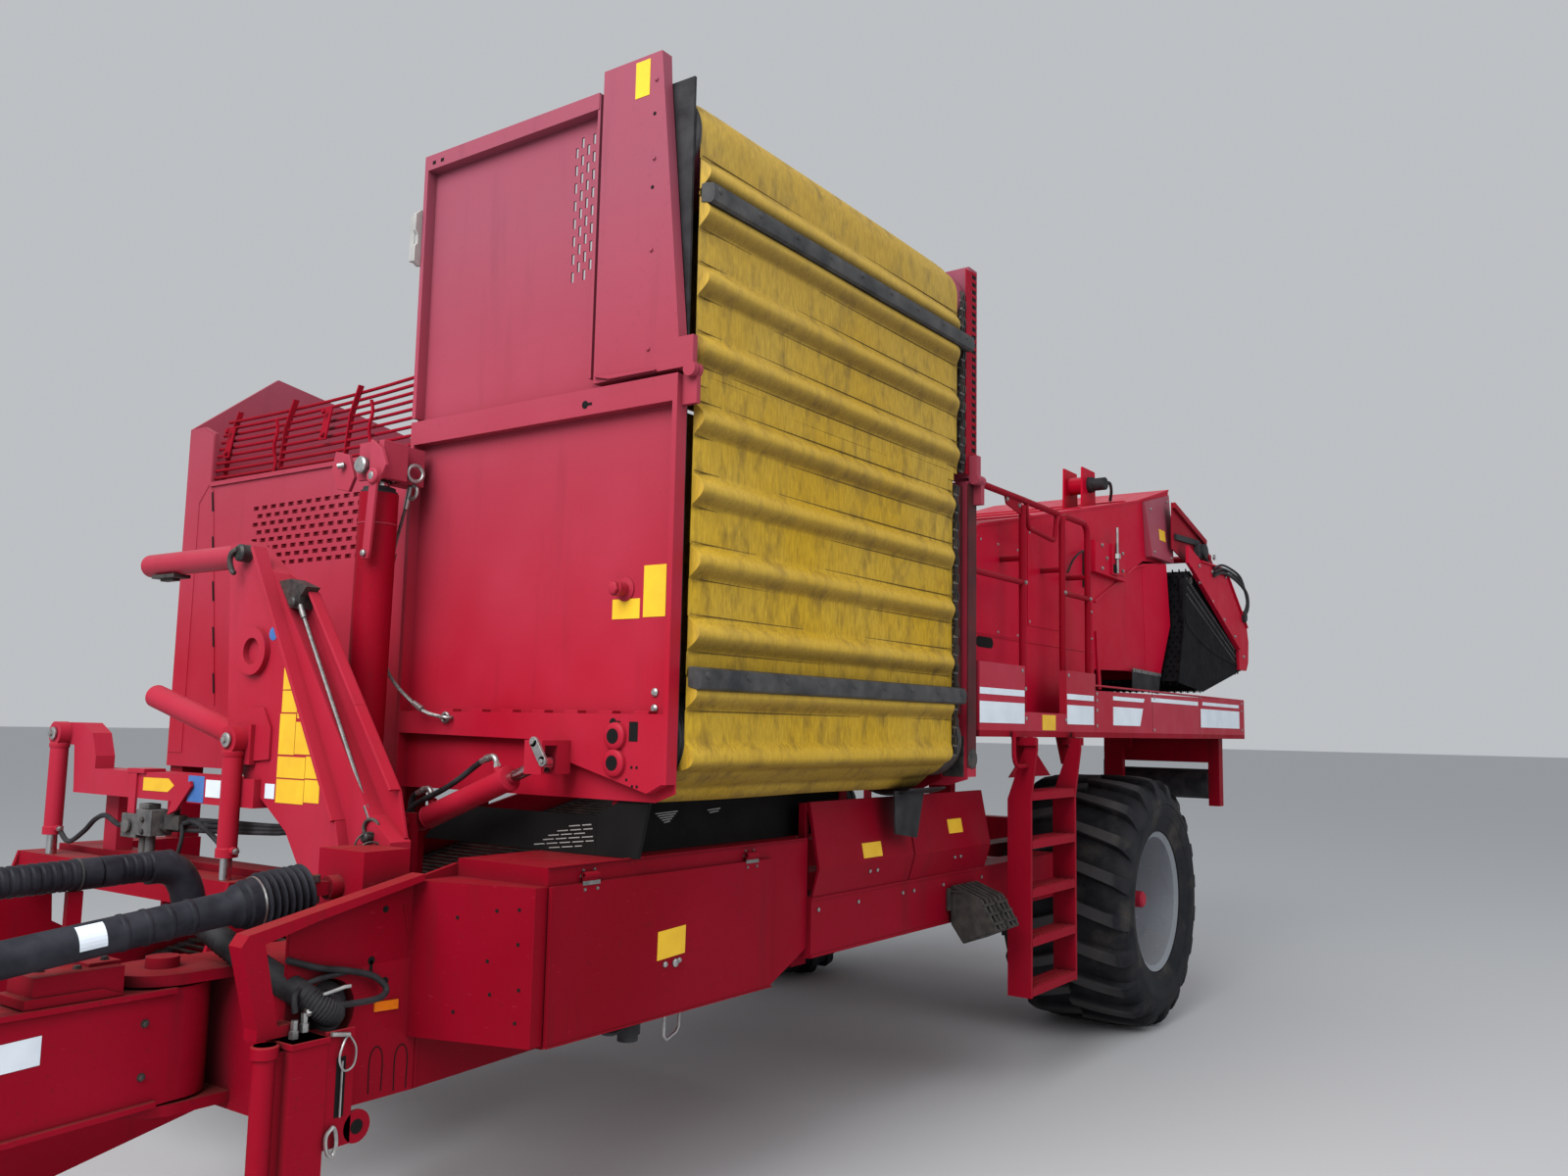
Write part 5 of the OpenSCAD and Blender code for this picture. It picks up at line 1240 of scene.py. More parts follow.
def box_edges():
    lip = Shape()
    lip.block((3.42, 4.8), on(BOX_Y, 0.012), (1.2952, 1.299))
    lip.plate([(4.8, 1.302), (4.85, 1.302), (4.852, 1.297), (4.8, 1.297)], "z", 0.782, 1.24)
    piece("box_lip", lip, "chassis", "low", 0.0008)
    marks = Shape()
    for s, z in [
        (0.12, 1.175), (0.3, 1.168), (0.12, 1.075), (0.36, 1.02), (0.1, 0.945), (0.33, 0.925), (0.12, 0.85),
        (0.62, 0.865), (0.62, 1.14),
    ]:
        x, y = 4.85 + s * 0.12, 1.3 - s * 0.4
        marks.disc((x - 0.001, y, z), (0.957, 0.287, 0), 0.0055, 0.0025, 8)
    piece("box_front_holes", marks, "chassis", "void")


def box_underside():
    under = Shape()
    under.turned(
        (4.342, 1.23, 0.792), -UP,
        [(0, 0.041), (0.07, 0.041), (0.074, 0.034), (0.092, 0.034), (0.094, 0.02)], 20,
    )
    under.hose([
        (4.5, 1.24, 0.772), (4.48, 1.25, 0.752), (4.44, 1.255, 0.744), (4.4, 1.25, 0.75),
        (4.372, 1.24, 0.765),
    ], 0.008)
    piece("box_canister", under, "chassis", "rubber")
    handle = Shape()
    handle.tube([
        (4.186, 1.255, 0.772), (4.188, 1.255, 0.69), (4.176, 1.255, 0.674), (4.126, 1.255, 0.69),
        (4.112, 1.255, 0.706), (4.108, 1.255, 0.772),
    ], 0.0055, 8)
    handle.disc((4.15, 1.255, 0.772), -UP, 0.014, 0.014, 10)
    piece("box_wire_handle", handle, "chassis", "zinc")


def nose_details():
    """Seams, holes, reflector and studs on the left face of the pivot nose."""
    front = Shape()
    y = 0.9
    front.plate([(4.999, 1.171), (4.927, 0.902), (4.934, 0.9), (5.006, 1.168)], "y", *on(y, 0.003))
    for a, b, wide in [
        ((4.935, 0.908), (4.683, 0.898), 0.012), ((4.93, 0.902), (4.93, 0.622), 0.012),
        ((4.8, 0.842), (4.64, 0.842), 0.01),
    ]:
        front.strip(a, b, wide, "y", *on(y, 0.003))
    piece("nose_seams", front, "chassis", "low", 0.0008)
    black = Shape()
    for x, z in [(5.058, 0.955), (5.11, 1.022)]:
        black.disc((x, y - 0.001, z), LEFT, 0.012, 0.0022, 14)
        black.block((x - 0.005, x + 0.005), on(y, 0.0012), (z - 0.034, z))
    black.disc((5.068, y - 0.001, 1.165), LEFT, 0.01, 0.0022, 12)
    for x0, z0 in [(5.075, 0.7), (4.985, 0.69)]:
        arch = [(-0.022, -0.06), (-0.022, 0.04), (0, 0.07), (0.022, 0.04), (0.022, -0.06)]
        black.hose([(x0 + dx, y + 0.0005, z0 + dz) for dx, dz in arch], 0.0018, 5)
    piece("nose_holes", black, "chassis", "void")
    amber = Shape()
    amber.plate([(5.008, 0.868), (5.008, 0.896), (5.092, 0.9), (5.092, 0.872)], "y", *on(y, 0.006))
    piece("nose_reflector", amber, "chassis", "amber", 0.001)
    studs = Shape()
    for x, z in [(4.638, 1.049), (4.638, 0.912)]:
        studs.turned((x, y - 0.001, z), LEFT, [(0, 0.01), (0.004, 0.01), (0.007, 0.005)], 12)
    piece("nose_studs", studs, "chassis", "zinc")


def cover_details():
    """Blank plates, bolts and seams of the folded covers and the outer rail."""
    signs, heads, seams = Shape(), Shape(), Shape()
    rail = 1.3195

    def face(z):
        """The y of the covers' slanted face at a height."""
        return 1.35 - (z - 1.18) * 0.05 / 0.255

    for x0, x1, z0, z1 in [(2.9, 3.052, 1.196, 1.256), (2.132, 2.273, 1.25, 1.314)]:
        signs.slab([(x1, face(z0), z0), (x0, face(z0), z0), (x0, face(z1), z1), (x1, face(z1), z1)], 0.0015)
        for dx in (0.03, 0.09):
            heads.turned(
                (x0 + dx, 1.338, 1.14), (0, 0.96, -0.28), [(0, 0.008), (0.005, 0.008), (0.007, 0.005)], 10,
            )
    piece("cover_signs", signs, "chassis", "sign")
    for x in (1.9, 2.3, 2.58, 2.68, 3.05, 3.35):
        heads.disc((x, rail, 1.02), LEFT, 0.008, 0.005, 10)
    piece("cover_bolts", heads, "chassis", "zinc")
    for x in (1.864, 2.616, 2.634, 3.386):
        seams.slab([
            (x - 0.003, face(1.19), 1.19), (x + 0.003, face(1.19), 1.19), (x + 0.003, face(1.43), 1.43),
            (x - 0.003, face(1.43), 1.43),
        ], 0.0018)
    for z in ((0.842, 0.852), (1.058, 1.068)):
        seams.block((0.962, 3.398), (rail, 1.3235), z)
    piece("cover_edges", seams, "chassis", "low", 0.0006)


def chocks():
    """Two folding wheel chocks of ribbed plastic on their holder."""
    made = Shape()
    outline = [(1.34, 1.01), (1.48, 0.96), (1.56, 0.83), (1.4, 0.76), (1.34, 0.84)]
    for x0 in (2.0, 2.14):
        for k in range(5):
            x = x0 + 0.026 * k
            made.plate(outline, "x", x, x + 0.006)
        n = len(outline)
        for i in range(n):
            a, b = outline[i], outline[(i + 1) % n]
            if i in (0, 1):
                for k in (0, 2, 4):
                    made.strip(a, b, 0.008, "x", x0 + 0.022 * k, x0 + 0.022 * k + 0.018)
            else:
                made.strip(a, b, 0.008, "x", x0, x0 + 0.11)
        for s in (0.2, 0.5, 0.8):
            y, z = 1.48 + (1.56 - 1.48) * s, 0.96 + (0.83 - 0.96) * s
            made.beam((x0, y + 0.002, z + 0.002), (x0 + 0.11, y + 0.002, z + 0.002), 0.014, 0.012)
        made.turned((x0 + 0.055, 1.4, 0.79), -UP, [(0, 0.012), (0.028, 0.012), (0.028, 0.004)], 8)
    made.block((1.98, 2.27), (1.322, 1.338), (0.9, 1.0))
    made.block((1.985, 2.265), (1.336, 1.392), (0.985, 0.991))
    piece("chock_pair", made, "chassis", "chock", 0.0012, replaces=["wheel_chocks"])


# The belt's two halves: cloth loops that are open at the kink, with soft ribs
BELT_R, BELT_T, BELT_STEP = 0.17, 0.012, 0.009
FOLD_Z, TOP_Z = 1.68, 3.71
ROLLER_Y = BELT_Y - BELT_R
KINK_GAP = 0.008
RIB_HALF, RIB_HIGH = 0.056, 0.036


def rib_spots(run, arc, open_z, down):
    """How far along the loop each rib stands, from the kink on."""
    ribs = [(open_z - z) * down for z in RIB_Z if 0.06 < (open_z - z) * down <= run]
    if down > 0:
        ribs += [run + BELT_R * math.asin((FOLD_Z - RIB_Z[0]) / BELT_R), run + arc / 2]
    return ribs + [2 * run + arc - s for s in ribs if s < run]


def belt_half(name, body, end_z, open_z, replaces):
    """A loop from the kink round the roller at end_z, its ribs swelling out of it."""
    down = 1 if open_z > end_z else -1
    run, arc = abs(open_z - end_z), math.pi * BELT_R
    ribs = rib_spots(run, arc, open_z, down)
    dice = random.Random(7)
    phases = [dice.uniform(0, 6.28) for rib in ribs]
    count = int((2 * run + arc) / BELT_STEP)
    rear = BELT_REAR[body]
    sections = []
    for share in [0.0, 0.002, 0.005, 0.01, 0.017, 0.027, *[0.04 + 0.96 * k / 25 for k in range(26)]]:
        x = rear + (BELT_FRONT - rear) * share
        taper = math.sqrt(min(1.0, (x - rear + 0.001) / 0.075))
        edge = max(0.0, 1 - min(share, 1 - share) * 22)
        outer, inner = [], []
        for i in range(count + 1):
            s = (2 * run + arc) * i / count
            turn = min(max((s - run) / BELT_R, 0), math.pi)
            straight = min(s, run) if s < run + arc else 2 * run + arc - s
            z = open_z - down * straight - down * BELT_R * math.sin(turn)
            out = Vector((0, math.cos(turn), -down * math.sin(turn)))
            centre = Vector((x, ROLLER_Y, z + down * BELT_R * math.sin(turn)))
            swell = 0.0
            for rib, phase in zip(ribs, phases):
                t = (s - rib) / RIB_HALF
                if abs(t) < 1:
                    wave = 1 + 0.05 * math.sin(5 * x + phase)
                    swell = max(swell, RIB_HIGH * math.cos(t * math.pi / 2) ** 1.25 * wave)
            swell *= taper
            sag = (0.0018 * math.sin(3.1 * x + 4 * s) - 0.003 - 0.01 * edge) * (1 - swell / RIB_HIGH)
            outer.append(centre + out * (BELT_R + swell + min(sag, 0)))
            inner.append(centre + out * (BELT_R - BELT_T))
        sections.append((outer, inner))
    shape = Shape()
    shape.cloth(sections)
    piece(name, shape, body, "belt", replaces=replaces, angle=50)


def belts():
    """Both halves, the cloth that joins them at the kink, and the cheeks at their front ends."""
    belt_half("belt_low", "discharge_wall", FOLD_Z, KINK_Z - KINK_GAP, ["lower_belt"])
    belt_half("belt_high", "discharge_head", TOP_Z, KINK_Z + KINK_GAP, ["upper_belt"])
    join = Shape()
    rows = [KINK_Z - 0.03 + 0.006 * i for i in range(11)]
    rear, front, out, inside = 2.584, BELT_FRONT - 0.004, BELT_Y - 0.0035, BELT_Y - 0.0075
    join.rings([[(rear, out, z), (front, out, z), (front, inside, z), (rear, inside, z)] for z in rows])
    made = piece("belt_bridge", join, None, "belt")
    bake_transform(made)
    cheek = Shape()
    cheek.turned(
        (BELT_FRONT + 0.002, ROLLER_Y, TOP_Z), FORWARD,
        [(0, 0.162), (0.01, 0.158), (0.012, 0.05), (0.018, 0.045)], 48,
    )
    cheek.block((4.439, 4.449), (1.385, BELT_Y - 0.026), (2.9, 3.9))
    piece("head_cheek", cheek, "discharge_head", "rubber")
    cheek = Shape()
    cheek.plate([
        (1.385, 1.548), (1.438, 1.548), (1.489, 1.602), (1.489, 2.85), (1.385, 2.85),
    ], "x", 4.439, 4.449)
    cheek.turned((BELT_FRONT + 0.002, ROLLER_Y, FOLD_Z), FORWARD, [(0, 0.15), (0.01, 0.146)], 40)
    piece("wall_cheek", cheek, "discharge_wall", "rubber")


# Wheels: half a tyre's profile as y and radius, and its lugs as y, radius, height and half width
TYRE_SIDE = [
    (0.0, 0.695), (0.12, 0.695), (0.2, 0.693), (0.27, 0.687), (0.32, 0.676), (0.352, 0.658), (0.374, 0.632),
    (0.386, 0.602), (0.39, 0.575), (0.3865, 0.571), (0.3895, 0.562), (0.388, 0.53), (0.38, 0.5),
    (0.3765, 0.497), (0.374, 0.486), (0.364, 0.456), (0.354, 0.43), (0.35, 0.4118), (0.33, 0.4098),
    (0.3298, 0.3876),
]
LUG_LINE = [
    (-0.012, 0.695, 0.04, 0.03), (0.05, 0.695, 0.04, 0.032), (0.11, 0.695, 0.04, 0.033),
    (0.17, 0.694, 0.04, 0.034), (0.225, 0.691, 0.041, 0.035), (0.275, 0.686, 0.041, 0.036),
    (0.32, 0.676, 0.044, 0.038), (0.35, 0.659, 0.044, 0.04), (0.37, 0.636, 0.036, 0.041),
    (0.382, 0.61, 0.02, 0.04), (0.387, 0.59, 0.006, 0.038),
]
LUGS = 20
AXLE_Z, WHEEL_Y = 0.735, 1.215


def tyre(name, body, side, replaces):
    made = Shape()
    turns = [2 * math.pi * k / 96 for k in range(96)]
    profile = [(-y, r) for y, r in reversed(TYRE_SIDE)] + TYRE_SIDE[1:]
    made.rings([[
        Vector((r * math.cos(a), side * WHEEL_Y + y, AXLE_Z + r * math.sin(a))) for a in turns
    ] for y, r in profile], loop=True)

    def spot(angle, y, r, aside):
        a = angle + aside / r
        return Vector((r * math.cos(a), side * WHEEL_Y + y, AXLE_Z + r * math.sin(a)))

    for half in (1, -1):
        for i in range(LUGS):
            start = 2 * math.pi / LUGS * (i + (0.5 if half < 0 else 0))
            rings = []
            for k, (y, r, high, wide) in enumerate(LUG_LINE):
                share = k / (len(LUG_LINE) - 1)
                shift = -side * (-0.062 + 0.13 * (1 - (1 - share) ** 1.7))
                rings.append([
                    spot(start, half * y, r - 0.012, shift - wide - 0.008),
                    spot(start, half * y, r + high, shift - wide + 0.004),
                    spot(start, half * y, r + high, shift + wide - 0.004),
                    spot(start, half * y, r - 0.012, shift + wide + 0.008),
                ])
            made.rings(rings)
    piece(name, made, body, "tyre", replaces=replaces, angle=32)


def wheels():
    for name, side in [("left", 1), ("right", -1)]:
        tyre("tread_" + name, "wheel_" + name, side, ["tyre_" + name])
        out = (0, side, 0)
        cap, nuts = Shape(), Shape()
        cap.turned(
            (0, side * (WHEEL_Y + 0.078), AXLE_Z), out,
            [
                (0, 0.058), (0.006, 0.058), (0.01, 0.05), (0.055, 0.05), (0.175, 0.048), (0.186, 0.036),
                (0.188, 0.01),
            ],
            28,
        )
        cap.turned(
            (0, side * (WHEEL_Y + 0.064), AXLE_Z), out, [(0, 0.104), (0.004, 0.104), (0.014, 0.07)], 32,
        )
        for k in range(10):
            a = 2 * math.pi * (k + 0.5) / 10
            x, z = 0.19 * math.cos(a), AXLE_Z + 0.19 * math.sin(a)
            nuts.disc((x, side * (WHEEL_Y - 0.071), z), out, 0.024, 0.006, 12)
            nuts.turned(
                (x, side * (WHEEL_Y - 0.066), z), out, [(0, 0.017), (0.02, 0.017), (0.024, 0.012)], 6,
            )
            nuts.disc((x, side * (WHEEL_Y - 0.048), z), out, 0.009, 0.014, 8)
        nuts.tube([
            (0.345, side * (WHEEL_Y + 0.215), AXLE_Z - 0.1), (0.352, side * (WHEEL_Y + 0.255), AXLE_Z - 0.1),
        ], 0.005, 8)
        piece("hub_cap_" + name, cap, "wheel_" + name, "panel", 0.001)
        piece("wheel_nuts_" + name, nuts, "wheel_" + name, "zinc")


# Drive shaft with its bellows, the conduit with its sleeve, the jack and the drawbar
TUBE_R = 0.0475
SHAFT_A, SHAFT_B = Vector((5.2, 0.72, 1.22)), Vector((7.7, 0.56, 0.92))
PIPE_PITCH = 0.026
PIPE_A, PIPE_B = Vector((5.7, 0.46, 1.29)), Vector((7.4, 0.46, 1.24))


def bellows(start, end, folds, low, high):
    """Radii of a rubber bellows between two distances along its axis."""
    line = []
    for k in range(folds * 6 + 1):
        share = k / (folds * 6)
        wave = (0.5 - 0.5 * math.cos(2 * math.pi * folds * share)) ** 0.7
        line.append((start + (end - start) * share, low + (high - low) * wave))
    return line


SHAFT_SIZE = (SHAFT_B - SHAFT_A).length
SHAFT_U = (SHAFT_B - SHAFT_A).normalized()


def shaft_cover():
    u, size = SHAFT_U, SHAFT_SIZE
    cover = Shape()
    profile = [
        (0.018, 0.03), (0.018, 0.06), *bellows(0.022, 0.175, 7, 0.064, 0.082), (0.18, 0.07), (0.184, 0.072),
    ]
    profile += [(0.212, 0.07), (0.218, 0.064), (0.236, 0.062), (0.246, 0.052), (0.262, TUBE_R)]
    profile += [
        (size - 0.23, TUBE_R), (size - 0.222, 0.056), (size - 0.19, 0.058),
        *bellows(size - 0.186, size - 0.06, 6, 0.06, 0.075),
    ]
    profile += [(size - 0.05, 0.06), (size - 0.03, 0.034), (size + 0.1, 0.032)]
    cover.turned(SHAFT_A, u, profile, 40)
    for s in (0.36, 0.42, 0.48, 0.54):
        cover.turned(SHAFT_A + u * s, u, [(0, TUBE_R), (0.004, 0.05), (0.012, 0.05), (0.016, TUBE_R)], 32)
    piece("shaft_cover", cover, "drive_shaft", "plastic", replaces=["pto_shaft"])


def shaft_yoke():
    yoke = Shape()
    x, y, z = SHAFT_A
    half = 0.0245
    ring = [
        (x + half * math.cos(a), y + half * math.sin(a))
        for a in [math.pi / 2 + math.pi * k / 24 for k in range(25)]
    ]
    ring += [(x + 0.068, y - half), (x + 0.068, y + half)]
    for z0, z1 in ((0.0205, 0.0418), (-0.0418, -0.0205)):
        yoke.plate(ring, "z", z + z0, z + z1)
    yoke.block((x + 0.046, x + 0.07), (y - 0.024, y + 0.024), (z - 0.041, z + 0.041))
    piece("shaft_yoke", yoke, "drive_shaft", "steel", 0.002)


def shaft_label():
    """Two clamping bands and a blank label round the shaft's cover."""
    u, bands = SHAFT_U, Shape()
    for s, r in ((0.177, 0.0745), (SHAFT_SIZE - 0.056, 0.0735)):
        bands.turned(SHAFT_A + u * s, u, [(0, 0.062), (0, r), (0.006, r), (0.006, 0.062)], 36)
    piece("shaft_bands", bands, "drive_shaft", "zinc")
    label = Shape()
    side = UP.cross(u).normalized()
    up = u.cross(side)
    low, high = [SHAFT_A + u * s for s in (0.6, 0.668)]
    faces = (0.0478, 0.0487)
    for k in range(7):
        a, b = math.radians(-18 + 12 * k), math.radians(-6 + 12 * k)
        corners = ((low, a), (high, a), (high, b), (low, b))
        label.rings([
            [end + r * (math.cos(t) * side + math.sin(t) * up) for end, t in corners] for r in faces
        ])
    piece("shaft_label", label, "drive_shaft", "white")


def ribbed(ribs):
    """The conduit's collar and its ribs, as distances along it and their radii."""
    line = [(0.0, 0.036), (0.004, 0.043), (0.05, 0.043), (0.054, 0.039)]
    for k in range(ribs):
        s = 0.06 + PIPE_PITCH * k
        line += [(s, 0.0385), (s + 0.004, 0.0425), (s + 0.017, 0.0425), (s + 0.021, 0.0385)]
    return line


def conduit():
    pipe, clip = Shape(), Shape()
    u = (PIPE_B - PIPE_A).normalized()
    size = (PIPE_B - PIPE_A).length
    pipe.turned(PIPE_A, u, [*ribbed(int((size - 0.07) / PIPE_PITCH)), (size, 0.04)], 28)
    pipe.turned(PIPE_A, -u, [*ribbed(6), (0.185, 0.04)], 28)
    pipe.hose([
        (5.56, 0.46, 1.29), (5.51, 0.46, 1.288), (5.47, 0.46, 1.268), (5.445, 0.462, 1.229),
        (5.433, 0.466, 1.183),
    ], 0.047, 24, 6)
    piece("conduit_pipe", pipe, "drawbar", "plastic", replaces=["hose_conduit"])
    clip.turned(PIPE_A + u * 0.056, u, [(0, 0.042), (0, 0.0452), (0.006, 0.0452), (0.006, 0.042)], 28)
    piece("conduit_rim", clip, "drawbar", "slat")


def hose_sleeve():
    """The corrugated sleeve that bends between the conduit and the nose, and the boot at its end."""
    sleeve = Shape()
    line = curve([
        (5.433, 0.464, 1.2), (5.42, 0.49, 1.145), (5.396, 0.56, 1.092), (5.382, 0.68, 1.045),
        (5.376, 0.8, 1.012), (5.362, 0.895, 0.978), (5.332, 0.95, 0.945), (5.295, 0.962, 0.918),
        (5.262, 0.925, 0.902), (5.25, 0.8, 0.9),
    ], 14)
    sleeve.tube(line, [0.034 + 0.005 * (i % 2) for i in range(len(line))], 16)
    made = piece("hose_sleeve", sleeve, None, "rubber", angle=80)
    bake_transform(made)
    boot = Shape()
    boot.turned(
        (5.25, 0.862, 0.9), LEFT, [(0, 0.084), (0.012, 0.082), (0.024, 0.06), (0.046, 0.052), (0.05, 0.046)],
        28,
    )
    piece("nose_boot", boot, "chassis", "rubber")


def jack_plates():
    red = Shape()
    red.turned((5.48, 0.96, 0.828), UP, [(0, 0.031), (0, 0.037), (0.03, 0.037), (0.034, 0.03)], 24)
    red.turned((5.48, 0.96, 0.45), UP, [(0, 0.031), (0.002, 0.036), (0.016, 0.036), (0.018, 0.031)], 24)
    red.block((5.235, 5.326), (1.0, 1.012), (0.56, 0.872))
    red.disc((5.215, 1.0, 0.6), LEFT, 0.045, 0.012)
    red.block((5.32, 5.44), (0.9, 1.02), (0.846, 0.862))
    red.block((5.236, 5.326), (0.902, 1.004), (0.6, 0.612))
    piece("jack_plates", red, "chassis", "frame", 0.0015)
    holes = Shape()
    holes.block((5.262, 5.292), (1.0115, 1.0128), (0.64, 0.8))
    holes.disc((5.215, 1.0115, 0.6), LEFT, 0.02, 0.0013, 20)
    piece("jack_slots", holes, "chassis", "void")


def jack_fittings():
    """The wire clip, the linch pin and the hose ends at the jack."""
    zinc, black = Shape(), Shape()
    zinc.hose([
        (5.262, 1.022, 0.858), (5.24, 1.024, 0.82), (5.246, 1.026, 0.775), (5.276, 1.026, 0.765),
        (5.292, 1.024, 0.8), (5.276, 1.022, 0.845), (5.262, 1.022, 0.858),
    ], 0.0032, 6)
    zinc.tube([(5.318, 1.02, 0.868), (5.262, 1.022, 0.858)], 0.0065, 8)
    zinc.tube([(5.277, 1.018, 0.79), (5.277, 1.018, 0.64)], 0.0032, 6)
    zinc.hose([
        (5.3, 1.024, 0.622), (5.322, 1.026, 0.6), (5.318, 1.026, 0.56), (5.3, 1.024, 0.545),
        (5.288, 1.024, 0.57), (5.292, 1.024, 0.606), (5.3, 1.024, 0.622),
    ], 0.0055, 6)
    for x, z in [(5.395, 0.9), (5.365, 0.915)]:
        zinc.turned((x, 0.96, z - 0.04), UP, [(0, 0.014), (0.022, 0.014), (0.024, 0.01), (0.05, 0.01)], 6)
    zinc.turned(
        (5.365, 0.96, 0.925), (-1, 0.1, 0.05), [(0, 0.013), (0.02, 0.013), (0.022, 0.009), (0.075, 0.009)],
        8,
    )
    zinc.tube([
        (5.33, 0.965, 0.935), (5.318, 0.975, 0.968), (5.262, 0.99, 0.982), (5.245, 0.992, 0.982),
    ], 0.0055, 8)
    piece("jack_fittings", zinc, "chassis", "zinc")
    black.hose([
        (5.292, 0.966, 0.93), (5.22, 0.966, 0.926), (5.13, 0.955, 0.922), (5.085, 0.94, 0.93),
        (5.082, 0.93, 0.952), (5.125, 0.922, 0.985), (5.21, 0.918, 1.01), (5.3, 0.915, 1.03),
        (5.392, 0.905, 1.062),
    ], 0.0095, 10, 6)
    black.hose([
        (5.395, 0.96, 0.93), (5.398, 0.958, 0.958), (5.385, 0.945, 0.978), (5.34, 0.925, 0.992),
        (5.28, 0.915, 1.0), (5.2, 0.912, 1.005),
    ], 0.0085, 10, 6)
    piece("jack_hoses", black, "chassis", "rubber")


def drawbar_details():
    """Flanges, label and bolts of the drawbar."""
    red = Shape()
    y = 0.65
    over = [(5.56, 0.968), (6.125, 0.968), (7.9, 0.64), (7.9, 0.655), (6.13, 0.984), (5.56, 0.984)]
    under = [(5.6, 0.676), (6.125, 0.658), (7.9, 0.466), (7.9, 0.482), (6.13, 0.674), (5.6, 0.692)]
    for edge, span in [
        (over, (0.648, 0.666)), (under, (0.648, 0.666)), (under, (0.374, 0.392)), (over, (0.374, 0.392)),
    ]:
        red.plate(edge, "y", *span)
    red.block((5.69, 5.775), (0.47, 0.6), (0.982, 1.07))
    red.plate([(5.69, 0.984), (5.76, 1.01), (5.952, 1.01), (5.952, 0.984)], "y", 0.494, 0.648)
    piece("drawbar_flanges", red, "drawbar", "frame", 0.002)
    label = Shape()
    label.plate([(5.904, 0.846), (5.904, 0.918), (6.01, 0.912), (6.01, 0.84)], "y", *on(y, 0.0014))
    piece("drawbar_label", label, "drawbar", "white")
    bolts = Shape()
    for x, yy, z in [(5.72, 0.57, 1.07), (5.8, 0.59, 1.06), (5.88, 0.56, 1.06)]:
        bolts.bolt((x, yy, z), UP, 0.01)
    for x, z in [(5.64, 0.9), (5.64, 0.76)]:
        bolts.bolt((x, y, z), LEFT, 0.009)
    piece("drawbar_bolts", bolts, "drawbar", "steel")


# House, chute and separator
HOUSE_Y = 1.33


def hood_y(z):
    """The y of the hood's slanted face at a height."""
    return HOUSE_Y + 0.006 + 0.085 * (3.4 - z)


def house_hood():
    cap = Shape()
    hood = [(-0.499, 3.255), (-0.56, 3.27), (-1.045, 3.39), (-1.04, 3.3), (-1.005, 2.9), (-0.552, 2.895)]
    cap.rings([[(x, HOUSE_Y - SUNK, z) for x, z in hood], [(x, hood_y(z), z) for x, z in hood]])
    piece("house_hood", cap, "chassis", "panel", 0.001)


def house_panels():
    """Doubled sheets, seams and roof of the house, and the boxes on its side."""
    skin = Shape()
    y = HOUSE_Y
    door = [(2.04, 2.205), (2.04, 2.655), (1.955, 2.7), (1.475, 2.7), (1.475, 2.205)]
    window = [(1.368, 2.289), (1.368, 2.815), (0.909, 2.905), (0.909, 2.289)]
    for sheet in (door, window):
        skin.plate(sheet, "y", *on(y, 0.0035))
    skin.block((0.405, 2.048), on(y, 0.004), (2.196, 2.203))
    for x in (1.418, 0.868, 0.43):
        skin.block((x - 0.003, x + 0.003), on(y, 0.002), (1.735, 2.5 if x < 0.5 else 2.78))
    skin.plate([(0.345, 2.33), (0.385, 2.33), (0.346, 1.985), (0.306, 1.985)], "y", *on(y, 0.01))
    skin.plate([
        (2.052, 2.69), (2.056, 2.7), (1.954, 2.752), (-0.408, 3.252), (-1.056, 3.432), (-1.05, 3.418),
        (-0.41, 3.238), (1.948, 2.738),
    ], "y", 0.0, y + 0.004)
    for x in (1.3, 0.56, -0.2):
        z = 2.74 + (1.95 - x) * 0.2119
        skin.beam((x, 0.02, z + 0.01), (x, y - 0.01, z + 0.01), 0.04, 0.016)
    skin.block((0.095, 0.215), (y + 0.038, y + 0.052), (2.69, 2.88))
    skin.block((-0.02, 0.08), (y + 0.036, y + 0.046), (2.7, 2.86))
    piece("house_panels", skin, "chassis", "house", 0.001)


def house_bolts():
    zinc = Shape()
    y = HOUSE_Y
    for x, z in [
        (1.5, 2.225), (1.74, 2.225), (2.015, 2.225), (1.5, 2.675), (1.74, 2.675), (1.94, 2.675),
        (0.93, 2.31), (1.345, 2.31), (1.345, 2.79), (0.93, 2.87), (0.44, 2.28), (0.44, 2.44), (0.6, 2.62),
    ]:
        zinc.turned((x, y + 0.002, z), LEFT, [(0, 0.008), (0.004, 0.007), (0.006, 0.003)], 10)
    for x, z in [(-0.6, 2.93), (-0.95, 2.93), (-0.6, 3.22), (-0.98, 3.33)]:
        zinc.bolt((x, hood_y(z), z), (0, 1, 0.08), 0.009)
    zinc.tube([(0.155, y + 0.062, 2.7), (0.155, y + 0.062, 2.985)], 0.0085, 10)
    zinc.disc((0.155, y + 0.062, 2.79), UP, 0.02, 0.03, 6)
    for x, z in [(0.02, 2.84), (0.02, 2.73), (0.36, 2.85), (0.36, 2.71), (0.28, 2.78)]:
        zinc.bolt((x, y + (0.046 if x < 0.1 else 0.04), z), LEFT, 0.01)
    piece("house_bolts", zinc, "chassis", "zinc")


